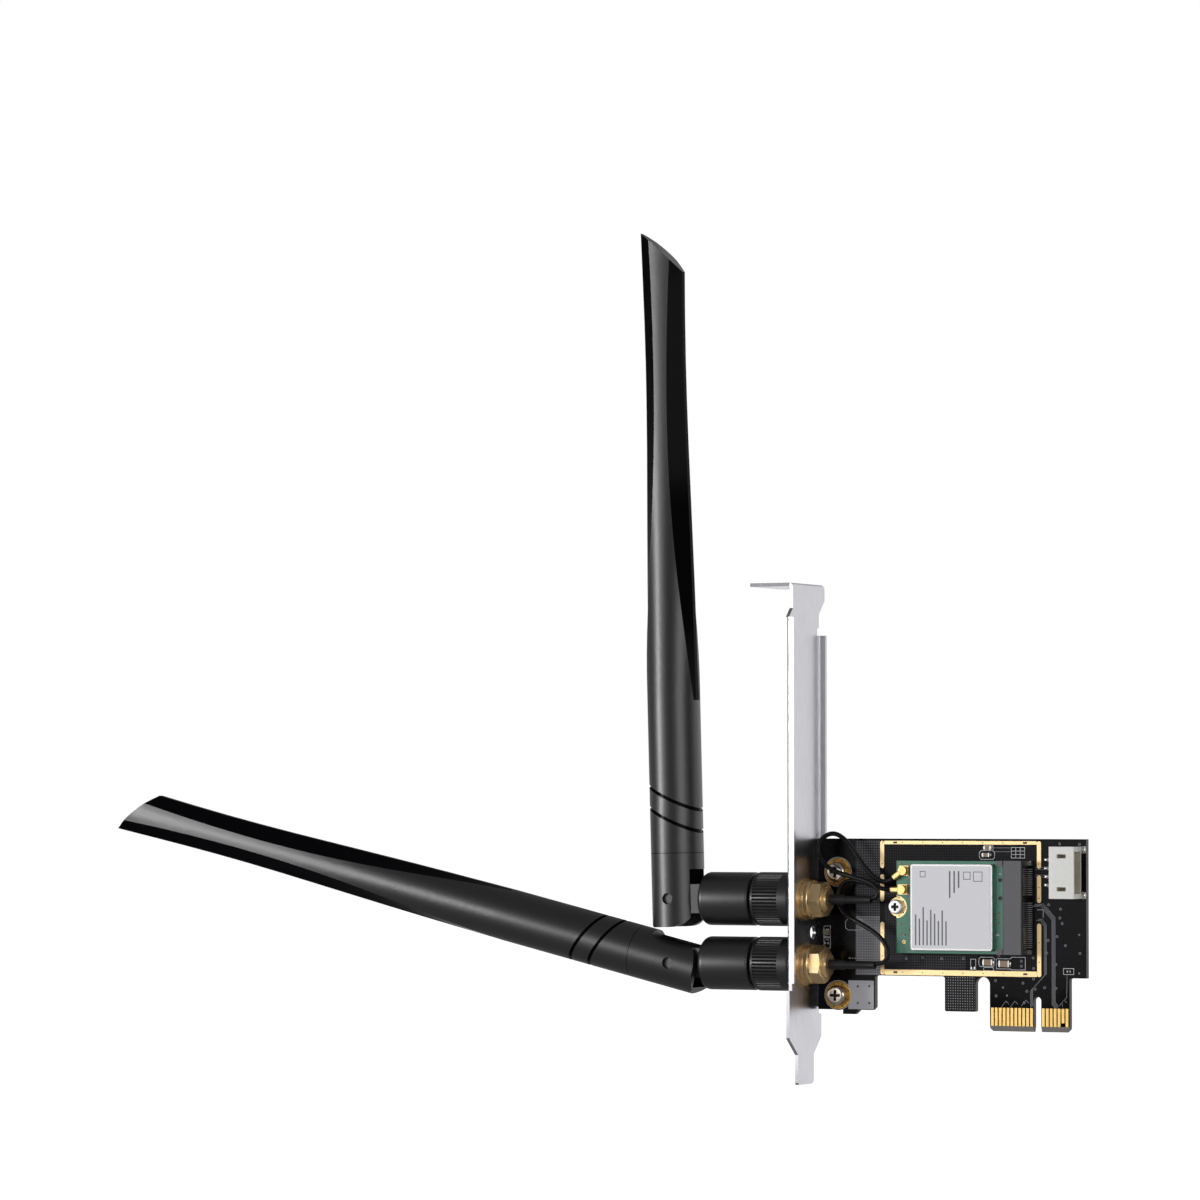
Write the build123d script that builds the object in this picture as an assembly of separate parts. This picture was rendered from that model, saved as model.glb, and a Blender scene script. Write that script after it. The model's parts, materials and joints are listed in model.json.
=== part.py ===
from build123d import *
import math
import os

# A PCI Express wireless network card with a full-height slot bracket and two hinged stick antennas.
# Every length is in millimetres and every angle in degrees.
# X runs along the card from the bracket's outer face, Y = 0 is the board's component face and
# components stand towards -Y, and Z = 0 is the lower end of the card edge, with +Z up.

# Slot bracket, folded from steel sheet
SHEET = 0.86
BRACKET_NEAR_Y = -15.24
BRACKET_WIDTH = 18.42
BRACKET_TOP_Z = 107.0
BRACKET_FOOT_Z = -13.4
HEAD_DEPTH = 3.9
HEAD_NEAR_INSET = 2.24
HEAD_FAR_OUTSET = 2.12
NEAR_SHOULDER_DROP = 6.1
FAR_NECK_INSET = 1.2
FAR_NECK_DROP = 7.15
FAR_NECK_LENGTH = 3.45
FAR_NECK_CURVE = 1.6
SHOULDER_CURVE = 1.0
SKIRT_CURVE = 0.6
TAB_REACH = 11.43
TAB_NEAR_CORNER = 0.3
TAB_FAR_CORNER = 1.2
BEND_OUTER = 1.1
BEND_INNER = 0.3
NEAR_FLANGE_REACH = 2.1
FAR_FLANGE_REACH = 2.4
NEAR_FLANGE_FOOT_Z = 11.0
FAR_FLANGE_FOOT_Z = 5.6
UPPER_RELIEF_HEIGHT = 1.75
RELIEF_HEIGHT = 1.7
RELIEF_DEPTH = 1.5
FAR_RELIEF_HEIGHT = 2.3
SKIRT_FOOT_Z = -2.2
TONGUE_TOP_Z = -6.2
TONGUE_NEAR_INSET = 4.99
TONGUE_WIDTH = 9.05
TONGUE_CORNER = 1.2
SCREW_NOTCH_WIDTH = 4.42
SCREW_NOTCH_DEPTH = 6.0
SCREW_NOTCH_X = -6.2
LIGHT_HOLE_DIAMETER = 3.2
EAR_REACH = 10.4
EAR_HEIGHT = 5.9
EAR_CORNER = 1.5

# Printed circuit board
BOARD_THICK = 1.57
BOARD_LEFT_X = 1.5
BOARD_LENGTH = 69.3
BOARD_TOP_Z = 45.6
BOARD_BELLY_Z = 12.8
LEFT_BLOCK_RIGHT_X = 16.45
LEFT_BLOCK_FOOT_Z = 4.45
LEFT_BLOCK_CORNER = 0.75
FOOT_DROP = 1.05
FOOT_CENTRE_X = 9.6
FOOT_WIDTH = 3.2
KEY_X = 58.36
KEY_WIDTH = 1.9
KEY_TOP_Z = 8.3
TONGUE_LEFT_REACH = 12.15
TONGUE_RIGHT_REACH = 8.15
HOOK_GAP = 3.65
HOOK_WIDTH = 7.95
HOOK_FOOT_Z = 4.5
HOOK_CORNER = 0.4
BELLY_CORNER = 0.5
BLOCK_INNER_CORNER = 0.6
EDGE_CHAMFER = 0.7
EDGE_BEVEL = 0.45

# Card-edge contacts
CONTACT_PITCH = 1.0
CONTACT_WIDTH = 0.7
CONTACT_FOOT_Z = 1.3
CONTACT_TOP_Z = 5.6
CONTACTS_LEFT = 11
CONTACTS_RIGHT = 7
SHORT_CONTACT = 5
SHORT_CONTACT_FOOT_Z = 2.2
FIRST_CONTACT_REACH = 1.5
PLATING = 0.05

# Gold ground frame printed round the radio module
RAIL_WIDTH = 1.04
RAIL_LEFT_GAP = 5.14
RAIL_RIGHT_GAP = 1.65
RAIL_BOTTOM_Z = 13.0
RAIL_TOP_Z = 45.1
CROSS_RAIL_WIDTH = 0.83
FOOT_RAIL_WIDTH = 1.27
RAIL_BREAKS = ((38.56, 37.03), (30.49, 25.64))

# Screws that hold the board to the bracket's ears
BOARD_SCREW_X = 6.75
BOARD_SCREW_ZS = (7.9, 37.55)
BOARD_SCREW_RADIUS = 1.45
BOARD_SCREW_HEAD_RADIUS = 2.4
BOARD_SCREW_HEAD_HEIGHT = 1.9
BOARD_HOLE_RADIUS = 1.6
PAD_RADIUS = 3.35
CROSS_RECESS_WIDTH = 0.7
CROSS_RECESS_REACH = 0.55
CROSS_RECESS_DEPTH = 0.9
BOARD_SCREW_PROUD = 1.2
HEAD_ROUNDING = 0.4

# Radio module on its socket and post
MODULE_LENGTH = 30.0
MODULE_INSERTION = 2.3
MODULE_FOOT_Z = 18.35
MODULE_WIDTH = 22.0
MODULE_THICK = 0.8
MODULE_LIFT = 2.4
CAN_LEFT_GAP = 4.2
CAN_RIGHT_GAP = 4.7
CAN_SIDE_MARGIN = 0.7
CAN_HEIGHT = 1.55
CAN_WALL = 0.2
CAN_CORNER = 0.6
LABEL_MARGIN = 0.5
LABEL_THICK = 0.1
HALF_HOLE_RADIUS = 1.4
HALF_RING_RADIUS = 2.7
MODULE_SCREW_RADIUS = 1.0
MODULE_SCREW_HEAD_RADIUS = 1.75
MODULE_SCREW_HEAD_HEIGHT = 1.0
MODULE_SCREW_TIP_Y = -0.2
POST_RADIUS = 2.3

# Socket that the module slides into
SOCKET_LEFT_X = 51.2
SOCKET_LENGTH = 5.0
SOCKET_HEIGHT = 4.2
SOCKET_SIDE_MARGIN = 0.1
SOCKET_ARM_REACH = 1.7
SOCKET_ARM_WIDTH = 1.2
SOCKET_EDGE = 0.3
SOCKET_PITCH = 0.5
SOCKET_CONTACT_WIDTH = 0.22
SOCKET_CONTACT_THICK = 0.25
SOCKET_CONTACT_HEIGHT = 3.5
SOCKET_FOOT_REACH = 1.0
SOCKET_FOOT_THICK = 0.2
SOCKET_END_MARGIN = 1.6
SOCKET_KEY_REACH = 13.1
SOCKET_KEY_GAP = 1.5
SOCKET_CLIP_WIDTH = 1.0
SOCKET_CLIP_HEIGHT = 0.9

# Miniature coaxial plugs on the module
RECEPTACLE_SIZE = 2.4
RECEPTACLE_THICK = 0.35
RECEPTACLE_POST_RADIUS = 0.55
RECEPTACLE_POST_HEIGHT = 0.9
PLUG_RADIUS = 1.05
PLUG_HEIGHT = 1.1
PLUG_LIP = 0.2
PLUG_TAIL_WIDTH = 1.35
PLUG_TAIL_START = 0.8
PLUG_TAIL_EDGE = 0.4
PLUG_REACHES = (1.7, 2.0)
PLUG_RISES = (15.15, 19.65)
TAIL_STEPS = ((-2.74, -0.03), (-2.33, -1.68))
CABLE_RADIUS = 0.565
CABLE_END_Y = -4.1

# Front-panel header with four pins
HEADER_LEFT_X = 63.3
HEADER_LENGTH = 6.25
HEADER_FOOT_Z = 31.6
HEADER_WIDTH = 12.25
HEADER_HEIGHT = 4.9
HEADER_WALL = 0.55
HEADER_BACK = 1.1
HEADER_SIDE = 1.15
HEADER_SLOT_LENGTH = 2.3
HEADER_SLOT_WIDTH = 0.95
HEADER_SLOT_MARGIN = 2.25
PIN_PITCH = 2.0
PIN_COUNT = 4
PIN_SIZE = 0.5
PIN_REACH = 4.6
PIN_TAIL = 3.0
SOLDER_TAB_REACH = 1.2
SOLDER_TAB_WIDTH = 1.5
SOLDER_TAB_THICK = 0.3

# Chip parts on the board: centre X, centre Z, length and width
CAPACITORS = ((45.9, 43.5, 1.8, 0.9), (45.5, 41.8, 1.8, 0.9), (45.9, 16.3, 2.4, 1.4), (50.1, 16.0, 2.6, 1.5))
RESISTORS = ((42.05, 14.9, 1.1, 0.55), (3.9, 20.4, 1.1, 0.55))
CAPACITOR_HEIGHT = 0.8
RESISTOR_HEIGHT = 0.4
CHIP_END = 0.3
LAMP_X = 3.9
LAMP_Z = 22.95
LAMP_LENGTH = 1.7
LAMP_WIDTH = 1.25
LAMP_HEIGHT = 1.7
LAMP_FOOT = 0.5
LAMP_DOME_SHARE = 0.8

# Threaded antenna jacks on the bracket
JACK_Y = -6.56
JACK_LOWER_Z = 15.45
JACK_SPACING = 15.55
THREAD_RADIUS = 3.175
JACK_FRONT_REACH = 8.9
JACK_BACK_REACH = 6.7
JACK_TAIL_RADIUS = 2.7
JACK_TAIL_LENGTH = 0.8
JACK_FLANGE_RADIUS = 4.4
JACK_FLANGE_THICK = 0.8
JACK_MOUTH_RADIUS = 2.3
JACK_MOUTH_DEPTH = 2.1
JACK_PLUG_THICK = 2.0
THREAD_EDGE = 0.3
INSULATOR_RADIUS = 1.6
CONTACT_PIN_RADIUS = 0.38
CONTACT_PIN_PROUD = 1.6
HOLE_CLEARANCE = 0.1
FLAT_WASHER_RADIUS = 5.1
FLAT_WASHER_THICK = 0.54
LOCK_WASHER_RADIUS = 4.7
LOCK_WASHER_THICK = 1.08
LOCK_WASHER_EDGE = 0.2
LOCK_WASHER_COUNT = 2
LOCK_WASHER_TEETH = 8
LOCK_TOOTH_DEPTH = 0.7
LOCK_TOOTH_GAP = 1.2
NUT_ACROSS_FLATS = 8.0
NUT_THICK = 3.0
NUT_EDGE = 0.35
NUT_TURNS = (25.5, 5.0)
SHRINK_RADIUS = 1.225
SHRINK_LENGTH = 4.2
SHRINK_TAIL_RADIUS = 0.95
SHRINK_STEP = 0.6
SHRINK_TAIL_LENGTHS = (7.6, 6.6)

# Antenna coupling nut
RUN_FIT = 0.05
SEAT_GAP = 0.3
KNURL_RADIUS = 6.5
KNURL_LENGTH = 10.0
KNURL_GROOVES = 48
KNURL_GROOVE_DEPTH = 0.35
KNURL_GROOVE_WIDTH = 0.5
KNURL_FRONT_RING = 0.7
KNURL_BACK_RING = 2.8
KNURL_EDGE = 0.4
INSERT_RADIUS = 4.6
INSERT_LIP = 0.9
PLUG_FLANGE_RADIUS = 3.1
PLUG_NECK_RADIUS = 2.6
PLUG_SHANK_RADIUS = 3.0
PLUG_SHANK_LENGTH = 8.4
PLUG_BORE_DEPTH = 7.0
SOCKET_PIN_RADIUS = 0.62

# Antenna barrel and elbow
BARREL_RADIUS = 6.45
BARREL_GAP = 0.7
BARREL_LENGTH = 13.6
BARREL_SHOULDER = 1.5
BARREL_NOSE = 0.5
ELBOW_REACH = 7.6
KNUCKLE_THICK = 7.8
KNUCKLE_RADIUS = 4.2
KNUCKLE_NECK = 7.0
HINGE_PIN_RADIUS = 1.35
HINGE_PIN_RECESS = 0.9
FORK_SIDE_GAP = 0.1
FORK_TAIL = 6.9
FORK_HEEL_REACH = 8.4
FORK_SLOT_TOP = 7.0
FORK_SEAM = 11.0
FORK_SPIGOT_RADIUS = 4.2
FORK_SPIGOT_LENGTH = 6.0
ELBOW_ANGLES = (13.4, 88.5)

# Antenna blade, by distance along it from the hinge pin: half width and half of the round band
ROUND_END = 48.0
BLADE_STATIONS = (
    (73.0, 6.1, 4.25),
    (97.0, 5.6, 2.4),
    (121.0, 5.15, 1.7),
    (145.0, 5.25, 2.15),
    (168.0, 5.7, 3.5),
)
ROUND_BAND_ANGLE = 74.0
BLADE_TIP_HALF_THICK = 2.25
BLADE_RIM = 1.5
TIP_LONG = 163.3
TIP_SHORT = 151.3
TIP_BULGE = 0.7
GROOVE_CENTRES = (19.4, 24.6)
GROOVE_WIDTH = 0.8
GROOVE_DEPTH = 0.4
GROOVE_SLOPE = 26.6
RADIATOR_RADIUS = 1.6
RADIATOR_LENGTH = 101.0

# Places that follow from the sizes above
BRACKET_FAR_Y = BRACKET_NEAR_Y + BRACKET_WIDTH
BOARD_RIGHT_X = BOARD_LEFT_X + BOARD_LENGTH
TONGUE_LEFT_X = KEY_X - TONGUE_LEFT_REACH
TONGUE_RIGHT_X = KEY_X + TONGUE_RIGHT_REACH
JACK_ZS = (JACK_LOWER_Z, JACK_LOWER_Z + JACK_SPACING)
MODULE_UNDER_Y = -MODULE_LIFT
MODULE_TOP_Y = MODULE_UNDER_Y - MODULE_THICK
MODULE_RIGHT_X = SOCKET_LEFT_X + MODULE_INSERTION
MODULE_LEFT_X = MODULE_RIGHT_X - MODULE_LENGTH
MODULE_TOP_Z = MODULE_FOOT_Z + MODULE_WIDTH
MODULE_MID_Z = (MODULE_FOOT_Z + MODULE_TOP_Z) / 2
CAN_LENGTH = MODULE_LENGTH - CAN_LEFT_GAP - CAN_RIGHT_GAP
SOCKET_RIGHT_X = SOCKET_LEFT_X + SOCKET_LENGTH
SOCKET_KEY_Z = MODULE_FOOT_Z + SOCKET_KEY_REACH
RAIL_LEFT_X = MODULE_LEFT_X - RAIL_LEFT_GAP
RAIL_RIGHT_X = SOCKET_RIGHT_X + SOCKET_FOOT_REACH + RAIL_RIGHT_GAP
WASHER_TOP_X = SHEET + FLAT_WASHER_THICK
NUT_LEFT_X = WASHER_TOP_X + LOCK_WASHER_COUNT * LOCK_WASHER_THICK
NUT_RIGHT_X = NUT_LEFT_X + NUT_THICK
JACK_BACK_X = SHEET + JACK_BACK_REACH
KNURL_RIGHT_X = -JACK_FLANGE_THICK - 2 * RUN_FIT
KNURL_LEFT_X = KNURL_RIGHT_X - KNURL_LENGTH
BARREL_RIGHT_X = KNURL_LEFT_X - BARREL_GAP
BARREL_LEFT_X = BARREL_RIGHT_X - BARREL_LENGTH
ELBOW_X = BARREL_LEFT_X - ELBOW_REACH
FORK_SLOT = KNUCKLE_THICK + 2 * FORK_SIDE_GAP
SIDES = ("lower", "upper")
PLUGS = [(MODULE_LEFT_X + reach, MODULE_FOOT_Z + rise) for reach, rise in zip(PLUG_REACHES, PLUG_RISES)]
TAILS = [(x + step_x, z + step_z) for (x, z), (step_x, step_z) in zip(PLUGS, TAIL_STEPS)]

# Routes of the two antenna leads over the card, from the jack to the plug on the module
ROUTE_UPPER = (
    (19.0, -6.56, 31.0),
    (20.5, -6.7, 32.5),
    (19.5, -6.8, 34.5),
    (16.6, -6.6, 35.7),
    (12.9, -6.4, 36.6),
    (9.2, -6.0, 37.5),
    (5.8, -5.6, 39.2),
    (3.6, -5.3, 42.3),
    (4.5, -5.1, 45.7),
    (7.8, -5.0, 47.2),
    (10.9, -4.9, 45.5),
    (13.3, -4.7, 42.2),
    (15.6, -4.6, 39.0),
    (18.2, -4.4, 36.3),
    (20.7, -4.2, 35.2),
    (22.2, -4.1, 35.6),
)
ROUTE_LOWER = (
    (20.7, -6.56, 15.45),
    (22.5, -6.4, 16.9),
    (22.5, -6.2, 19.5),
    (20.6, -5.9, 22.0),
    (17.6, -5.5, 24.0),
    (13.9, -5.0, 25.8),
    (10.7, -4.5, 27.2),
    (8.8, -4.0, 29.4),
    (8.4, -3.9, 32.2),
    (9.4, -3.9, 34.8),
    (12.0, -4.1, 35.8),
    (15.2, -4.2, 35.2),
    (18.2, -4.2, 34.2),
    (20.7, -4.1, 33.55),
)


def block(x0, x1, y0, y1, z0, z1):
    """A rectangular block between two corners."""
    centre = Pos((x0 + x1) / 2, (y0 + y1) / 2, (z0 + z1) / 2)
    return centre * Box(x1 - x0, y1 - y0, z1 - z0)


def rod_x(x0, x1, y, z, radius):
    """A round rod along X."""
    rod = Cylinder(radius, x1 - x0, align=(Align.CENTER, Align.CENTER, Align.MIN))
    return Pos(x0, y, z) * Rot(0, 90, 0) * rod


def rod_y(y0, y1, x, z, radius):
    """A round rod along Y."""
    rod = Cylinder(radius, y1 - y0, align=(Align.CENTER, Align.CENTER, Align.MIN))
    return Pos(x, y0, z) * Rot(-90, 0, 0) * rod


def plate_xz(sketch, y0, y1):
    """An outline drawn in X and Z, made into a plate from y0 to y1."""
    return Pos(0, y1, 0) * extrude(Plane.XZ * sketch, amount=y1 - y0, dir=(0, -1, 0))


def plate_yz(sketch, x0, x1):
    """An outline drawn in Y and Z, made into a plate from x0 to x1."""
    return Pos(x0, 0, 0) * extrude(Plane.YZ * sketch, amount=x1 - x0, dir=(1, 0, 0))


def plate_xy(sketch, z0, z1):
    """An outline drawn in X and Y, made into a plate from z0 to z1."""
    return Pos(0, 0, z0) * extrude(sketch, amount=z1 - z0, dir=(0, 0, 1))


def post(z0, z1, radius):
    """A round bar standing along Z on the origin."""
    return Pos(0, 0, z0) * Cylinder(radius, z1 - z0, align=(Align.CENTER, Align.CENTER, Align.MIN))


def turned(points, y, z):
    """A piece turned about the X direction from a profile of X and radius."""
    profile = Polygon(*points, align=None)
    return Pos(0, y, z) * revolve(Plane.XZ * profile, Axis.X)


def rounded(points, radii):
    """A polygon with some corners rounded: radii maps a corner's number to its radius."""
    shape = Polygon(*points, align=None)
    for corner, radius in radii.items():
        vertex = shape.vertices().sort_by_distance((*points[corner], 0))[0]
        shape = fillet(vertex, radius)
    return shape


def folded_edge(y_edge, inwards, reach, z0, z1):
    """A flange bent from the bracket's long edge, running along the card from z0 to z1."""
    skin = y_edge + inwards * SHEET
    root = y_edge + inwards * 2 * BEND_OUTER
    points = ((0, root), (0, y_edge), (reach, y_edge), (reach, skin), (SHEET, skin), (SHEET, root))
    return plate_xy(rounded(points, {1: BEND_OUTER, 4: BEND_INNER}), z0, z1)


def make_bracket():
    """The full-height slot bracket: face, screw tab, two flanges, two ears and the foot."""
    near = BRACKET_NEAR_Y
    far = BRACKET_FAR_Y
    head_near = near + HEAD_NEAR_INSET
    head_far = far + HEAD_FAR_OUTSET
    head_foot = BRACKET_TOP_Z - HEAD_DEPTH
    shoulder = BRACKET_TOP_Z - NEAR_SHOULDER_DROP
    neck_top = BRACKET_TOP_Z - FAR_NECK_DROP
    tongue_near = near + TONGUE_NEAR_INSET
    tongue_far = tongue_near + TONGUE_WIDTH
    points = (
        (head_near, BRACKET_TOP_Z - BEND_OUTER),
        (head_near, shoulder),
        (near, shoulder - HEAD_NEAR_INSET),
        (near, SKIRT_FOOT_Z),
        (tongue_near, TONGUE_TOP_Z),
        (tongue_near, BRACKET_FOOT_Z),
        (tongue_far, BRACKET_FOOT_Z),
        (tongue_far, TONGUE_TOP_Z),
        (far, SKIRT_FOOT_Z),
        (far, neck_top - FAR_NECK_LENGTH),
        (far - FAR_NECK_INSET, neck_top - FAR_NECK_LENGTH),
        (far - FAR_NECK_INSET, neck_top),
        (head_far, head_foot),
        (head_far, BRACKET_TOP_Z - BEND_OUTER),
    )
    corners = {5: TONGUE_CORNER / 2, 6: TONGUE_CORNER, 2: SHOULDER_CURVE, 3: SKIRT_CURVE, 8: SKIRT_CURVE}
    corners |= {11: FAR_NECK_CURVE, 12: FAR_NECK_CURVE}
    face = plate_yz(rounded(points, corners), 0, SHEET)

    near_top = shoulder - HEAD_NEAR_INSET
    neck_foot = neck_top - FAR_NECK_LENGTH
    far_top = neck_foot - UPPER_RELIEF_HEIGHT
    strip = 2 * BEND_OUTER
    face -= block(-1, SHEET + 1, near - 1, near + strip, NEAR_FLANGE_FOOT_Z, near_top)
    face -= block(-1, SHEET + 1, far - strip, far + 1, FAR_FLANGE_FOOT_Z, neck_foot)
    face += folded_edge(near, 1, NEAR_FLANGE_REACH, NEAR_FLANGE_FOOT_Z, near_top)
    face += folded_edge(far, -1, FAR_FLANGE_REACH, FAR_FLANGE_FOOT_Z, far_top)
    low = NEAR_FLANGE_FOOT_Z - RELIEF_HEIGHT
    face -= block(-1, SHEET + 1, near - 1, near + RELIEF_DEPTH, low, NEAR_FLANGE_FOOT_Z)
    low = FAR_FLANGE_FOOT_Z - FAR_RELIEF_HEIGHT
    face -= block(-1, SHEET + 1, far - RELIEF_DEPTH, far + 1, low, FAR_FLANGE_FOOT_Z)

    # The tab leaves the top of the face in one bend, and its notch takes the case's screw
    tab = (
        (SHEET, head_foot),
        (SHEET, BRACKET_TOP_Z),
        (SHEET - TAB_REACH, BRACKET_TOP_Z),
        (SHEET - TAB_REACH, BRACKET_TOP_Z - SHEET),
        (0, BRACKET_TOP_Z - SHEET),
        (0, head_foot),
    )
    fold = plate_xz(rounded(tab, {1: BEND_OUTER, 4: BEND_INNER}), head_near, head_far)
    near_end, far_end = fold.edges().filter_by(Axis.Z).group_by(Axis.X)[0].sort_by(Axis.Y)
    fold = chamfer(near_end, TAB_NEAR_CORNER)
    fold = chamfer(fold.edges().filter_by(Axis.Z).sort_by_distance(far_end @ 0.5)[0], TAB_FAR_CORNER)
    notch_end = head_far - SCREW_NOTCH_DEPTH + SCREW_NOTCH_WIDTH / 2
    half = SCREW_NOTCH_WIDTH / 2
    above = BRACKET_TOP_Z + 1
    below = BRACKET_TOP_Z - SHEET - 1
    slot = block(SCREW_NOTCH_X - half, SCREW_NOTCH_X + half, notch_end, head_far + 1, below, above)
    slot += Pos(SCREW_NOTCH_X, notch_end, (above + below) / 2) * Cylinder(half, above - below)
    bracket = face + (fold - slot)

    # Two ears lie flat on the back of the board and take its screws
    for z in BOARD_SCREW_ZS:
        ear = block(0, EAR_REACH, BOARD_THICK, BOARD_THICK + SHEET, z - EAR_HEIGHT / 2, z + EAR_HEIGHT / 2)
        ear = fillet(ear.edges().filter_by(Axis.Y).group_by(Axis.X)[-1], EAR_CORNER)
        bracket += ear
        hole = BOARD_SCREW_RADIUS + RUN_FIT
        bracket -= rod_y(BOARD_THICK - 1, BOARD_THICK + SHEET + 1, BOARD_SCREW_X, z, hole)

    # Openings in the face for the two jacks and for the lamp
    for z in JACK_ZS:
        bracket -= rod_x(-1, SHEET + 1, JACK_Y, z, THREAD_RADIUS + HOLE_CLEARANCE)
    bracket -= rod_x(-1, SHEET + 1, -LAMP_HEIGHT, LAMP_Z, LIGHT_HOLE_DIAMETER / 2)
    return bracket


def make_board():
    """The bare circuit board with its card edge, key slot, retention hook and screw holes."""
    hook_right = TONGUE_LEFT_X - HOOK_GAP
    hook_left = hook_right - HOOK_WIDTH
    foot_left = FOOT_CENTRE_X - FOOT_WIDTH / 2
    foot_right = FOOT_CENTRE_X + FOOT_WIDTH / 2
    foot_z = LEFT_BLOCK_FOOT_Z - FOOT_DROP
    points = (
        (BOARD_LEFT_X, BOARD_TOP_Z),
        (BOARD_RIGHT_X, BOARD_TOP_Z),
        (BOARD_RIGHT_X, BOARD_BELLY_Z),
        (TONGUE_RIGHT_X, BOARD_BELLY_Z),
        (TONGUE_RIGHT_X, 0),
        (TONGUE_LEFT_X, 0),
        (TONGUE_LEFT_X, BOARD_BELLY_Z),
        (hook_right, BOARD_BELLY_Z),
        (hook_right, HOOK_FOOT_Z),
        (hook_left, HOOK_FOOT_Z),
        (hook_left, BOARD_BELLY_Z),
        (LEFT_BLOCK_RIGHT_X, BOARD_BELLY_Z),
        (LEFT_BLOCK_RIGHT_X, LEFT_BLOCK_FOOT_Z + LEFT_BLOCK_CORNER),
        (LEFT_BLOCK_RIGHT_X - LEFT_BLOCK_CORNER, LEFT_BLOCK_FOOT_Z),
        (foot_right + FOOT_DROP, LEFT_BLOCK_FOOT_Z),
        (foot_right, foot_z),
        (foot_left, foot_z),
        (foot_left, LEFT_BLOCK_FOOT_Z),
        (BOARD_LEFT_X, LEFT_BLOCK_FOOT_Z),
    )
    arch = HOOK_GAP * 0.49
    corners = {3: BELLY_CORNER, 6: arch, 7: arch, 8: HOOK_CORNER, 9: HOOK_CORNER}
    corners |= {10: BLOCK_INNER_CORNER, 11: BLOCK_INNER_CORNER}
    shape = rounded(points, corners)
    shape = chamfer(shape.vertices().sort_by_distance((TONGUE_RIGHT_X, 0, 0))[0], EDGE_CHAMFER)
    shape = chamfer(shape.vertices().sort_by_distance((TONGUE_LEFT_X, 0, 0))[0], EDGE_CHAMFER)
    key_mid = KEY_TOP_Z - KEY_WIDTH / 2
    shape -= Pos(KEY_X, key_mid / 2 - 1) * Rectangle(KEY_WIDTH, key_mid + 2)
    shape -= Pos(KEY_X, key_mid) * Circle(KEY_WIDTH / 2)
    for z in BOARD_SCREW_ZS:
        shape -= Pos(BOARD_SCREW_X, z) * Circle(BOARD_HOLE_RADIUS)
    board = plate_xz(shape, 0, BOARD_THICK)

    # The lower end of the card edge is bevelled on both faces
    deep = CONTACT_FOOT_Z
    for y, side in ((0, 1), (BOARD_THICK, -1)):
        wedge = Polygon((y, 0), (y + side * EDGE_BEVEL, 0), (y, deep), align=None)
        board -= plate_yz(wedge, TONGUE_LEFT_X - 1, TONGUE_RIGHT_X + 1)
    return board


def make_edge_contacts():
    """Gold contacts on both faces of the card edge, in two groups beside the key slot."""
    reaches = [-FIRST_CONTACT_REACH - i * CONTACT_PITCH for i in range(CONTACTS_LEFT)]
    reaches += [FIRST_CONTACT_REACH + i * CONTACT_PITCH for i in range(CONTACTS_RIGHT)]
    pads = []
    for reach in reaches:
        short = math.isclose(reach, FIRST_CONTACT_REACH + SHORT_CONTACT * CONTACT_PITCH)
        foot = SHORT_CONTACT_FOOT_Z if short else CONTACT_FOOT_Z
        x = KEY_X + reach
        half = CONTACT_WIDTH / 2
        pads.append(block(x - half, x + half, -PLATING, 0, foot, CONTACT_TOP_Z))
        back = BOARD_THICK + PLATING
        pads.append(block(x - half, x + half, BOARD_THICK, back, CONTACT_FOOT_Z, CONTACT_TOP_Z))
    return pads


def make_ground_frame():
    """Gold rails printed round the module, broken where traces cross them."""
    rails = []
    bars = []
    for x in (RAIL_LEFT_X, RAIL_RIGHT_X):
        top = RAIL_TOP_Z
        for high, low in RAIL_BREAKS:
            bars.append((x, high, top))
            top = low
        bars.append((x, RAIL_BOTTOM_Z, top))
    for x, low, high in bars:
        shape = Pos(x, (low + high) / 2) * SlotOverall(high - low, RAIL_WIDTH, rotation=90)
        rails.append(plate_xz(shape, -PLATING, 0))
    inner_left = RAIL_LEFT_X + RAIL_WIDTH / 2
    inner_right = RAIL_RIGHT_X - RAIL_WIDTH / 2
    mid_x = (inner_left + inner_right) / 2
    top_z = RAIL_TOP_Z - CROSS_RAIL_WIDTH / 2
    foot_z = RAIL_BOTTOM_Z + FOOT_RAIL_WIDTH / 2
    for z, width in ((top_z, CROSS_RAIL_WIDTH), (foot_z, FOOT_RAIL_WIDTH)):
        bar = Pos(mid_x, z) * Rectangle(inner_right - inner_left - 2 * RUN_FIT, width)
        rails.append(plate_xz(bar, -PLATING, 0))
    return rails


def make_screw_pads():
    """Gold rings that the board screws' heads press on."""
    pads = []
    for z in BOARD_SCREW_ZS:
        ring = Pos(BOARD_SCREW_X, z) * (Circle(PAD_RADIUS) - Circle(BOARD_HOLE_RADIUS))
        pads.append(plate_xz(ring, -PLATING, 0))
    return pads


def pan_screw(x, z, seat_y, shank_end_y, shank_radius, head_radius, head_height):
    """A pan-head screw driven along +Y, with a cross recess in its head."""
    top = seat_y - head_height
    head = rod_y(top, seat_y, x, z, head_radius)
    head = fillet(head.edges().group_by(Axis.Y)[0], head_height * HEAD_ROUNDING)
    screw = head + rod_y(seat_y, shank_end_y, x, z, shank_radius)
    half = CROSS_RECESS_WIDTH / 2
    arm = head_radius * CROSS_RECESS_REACH
    for dx, dz in ((arm, half), (half, arm)):
        screw -= block(x - dx, x + dx, top - 1, top + CROSS_RECESS_DEPTH, z - dz, z + dz)
    return screw


def make_board_screws():
    """The two screws through the board into the bracket's ears."""
    end = BOARD_THICK + SHEET + BOARD_SCREW_PROUD
    sizes = (BOARD_SCREW_RADIUS, BOARD_SCREW_HEAD_RADIUS, BOARD_SCREW_HEAD_HEIGHT)
    return [pan_screw(BOARD_SCREW_X, z, -PLATING, end, *sizes) for z in BOARD_SCREW_ZS]


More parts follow.
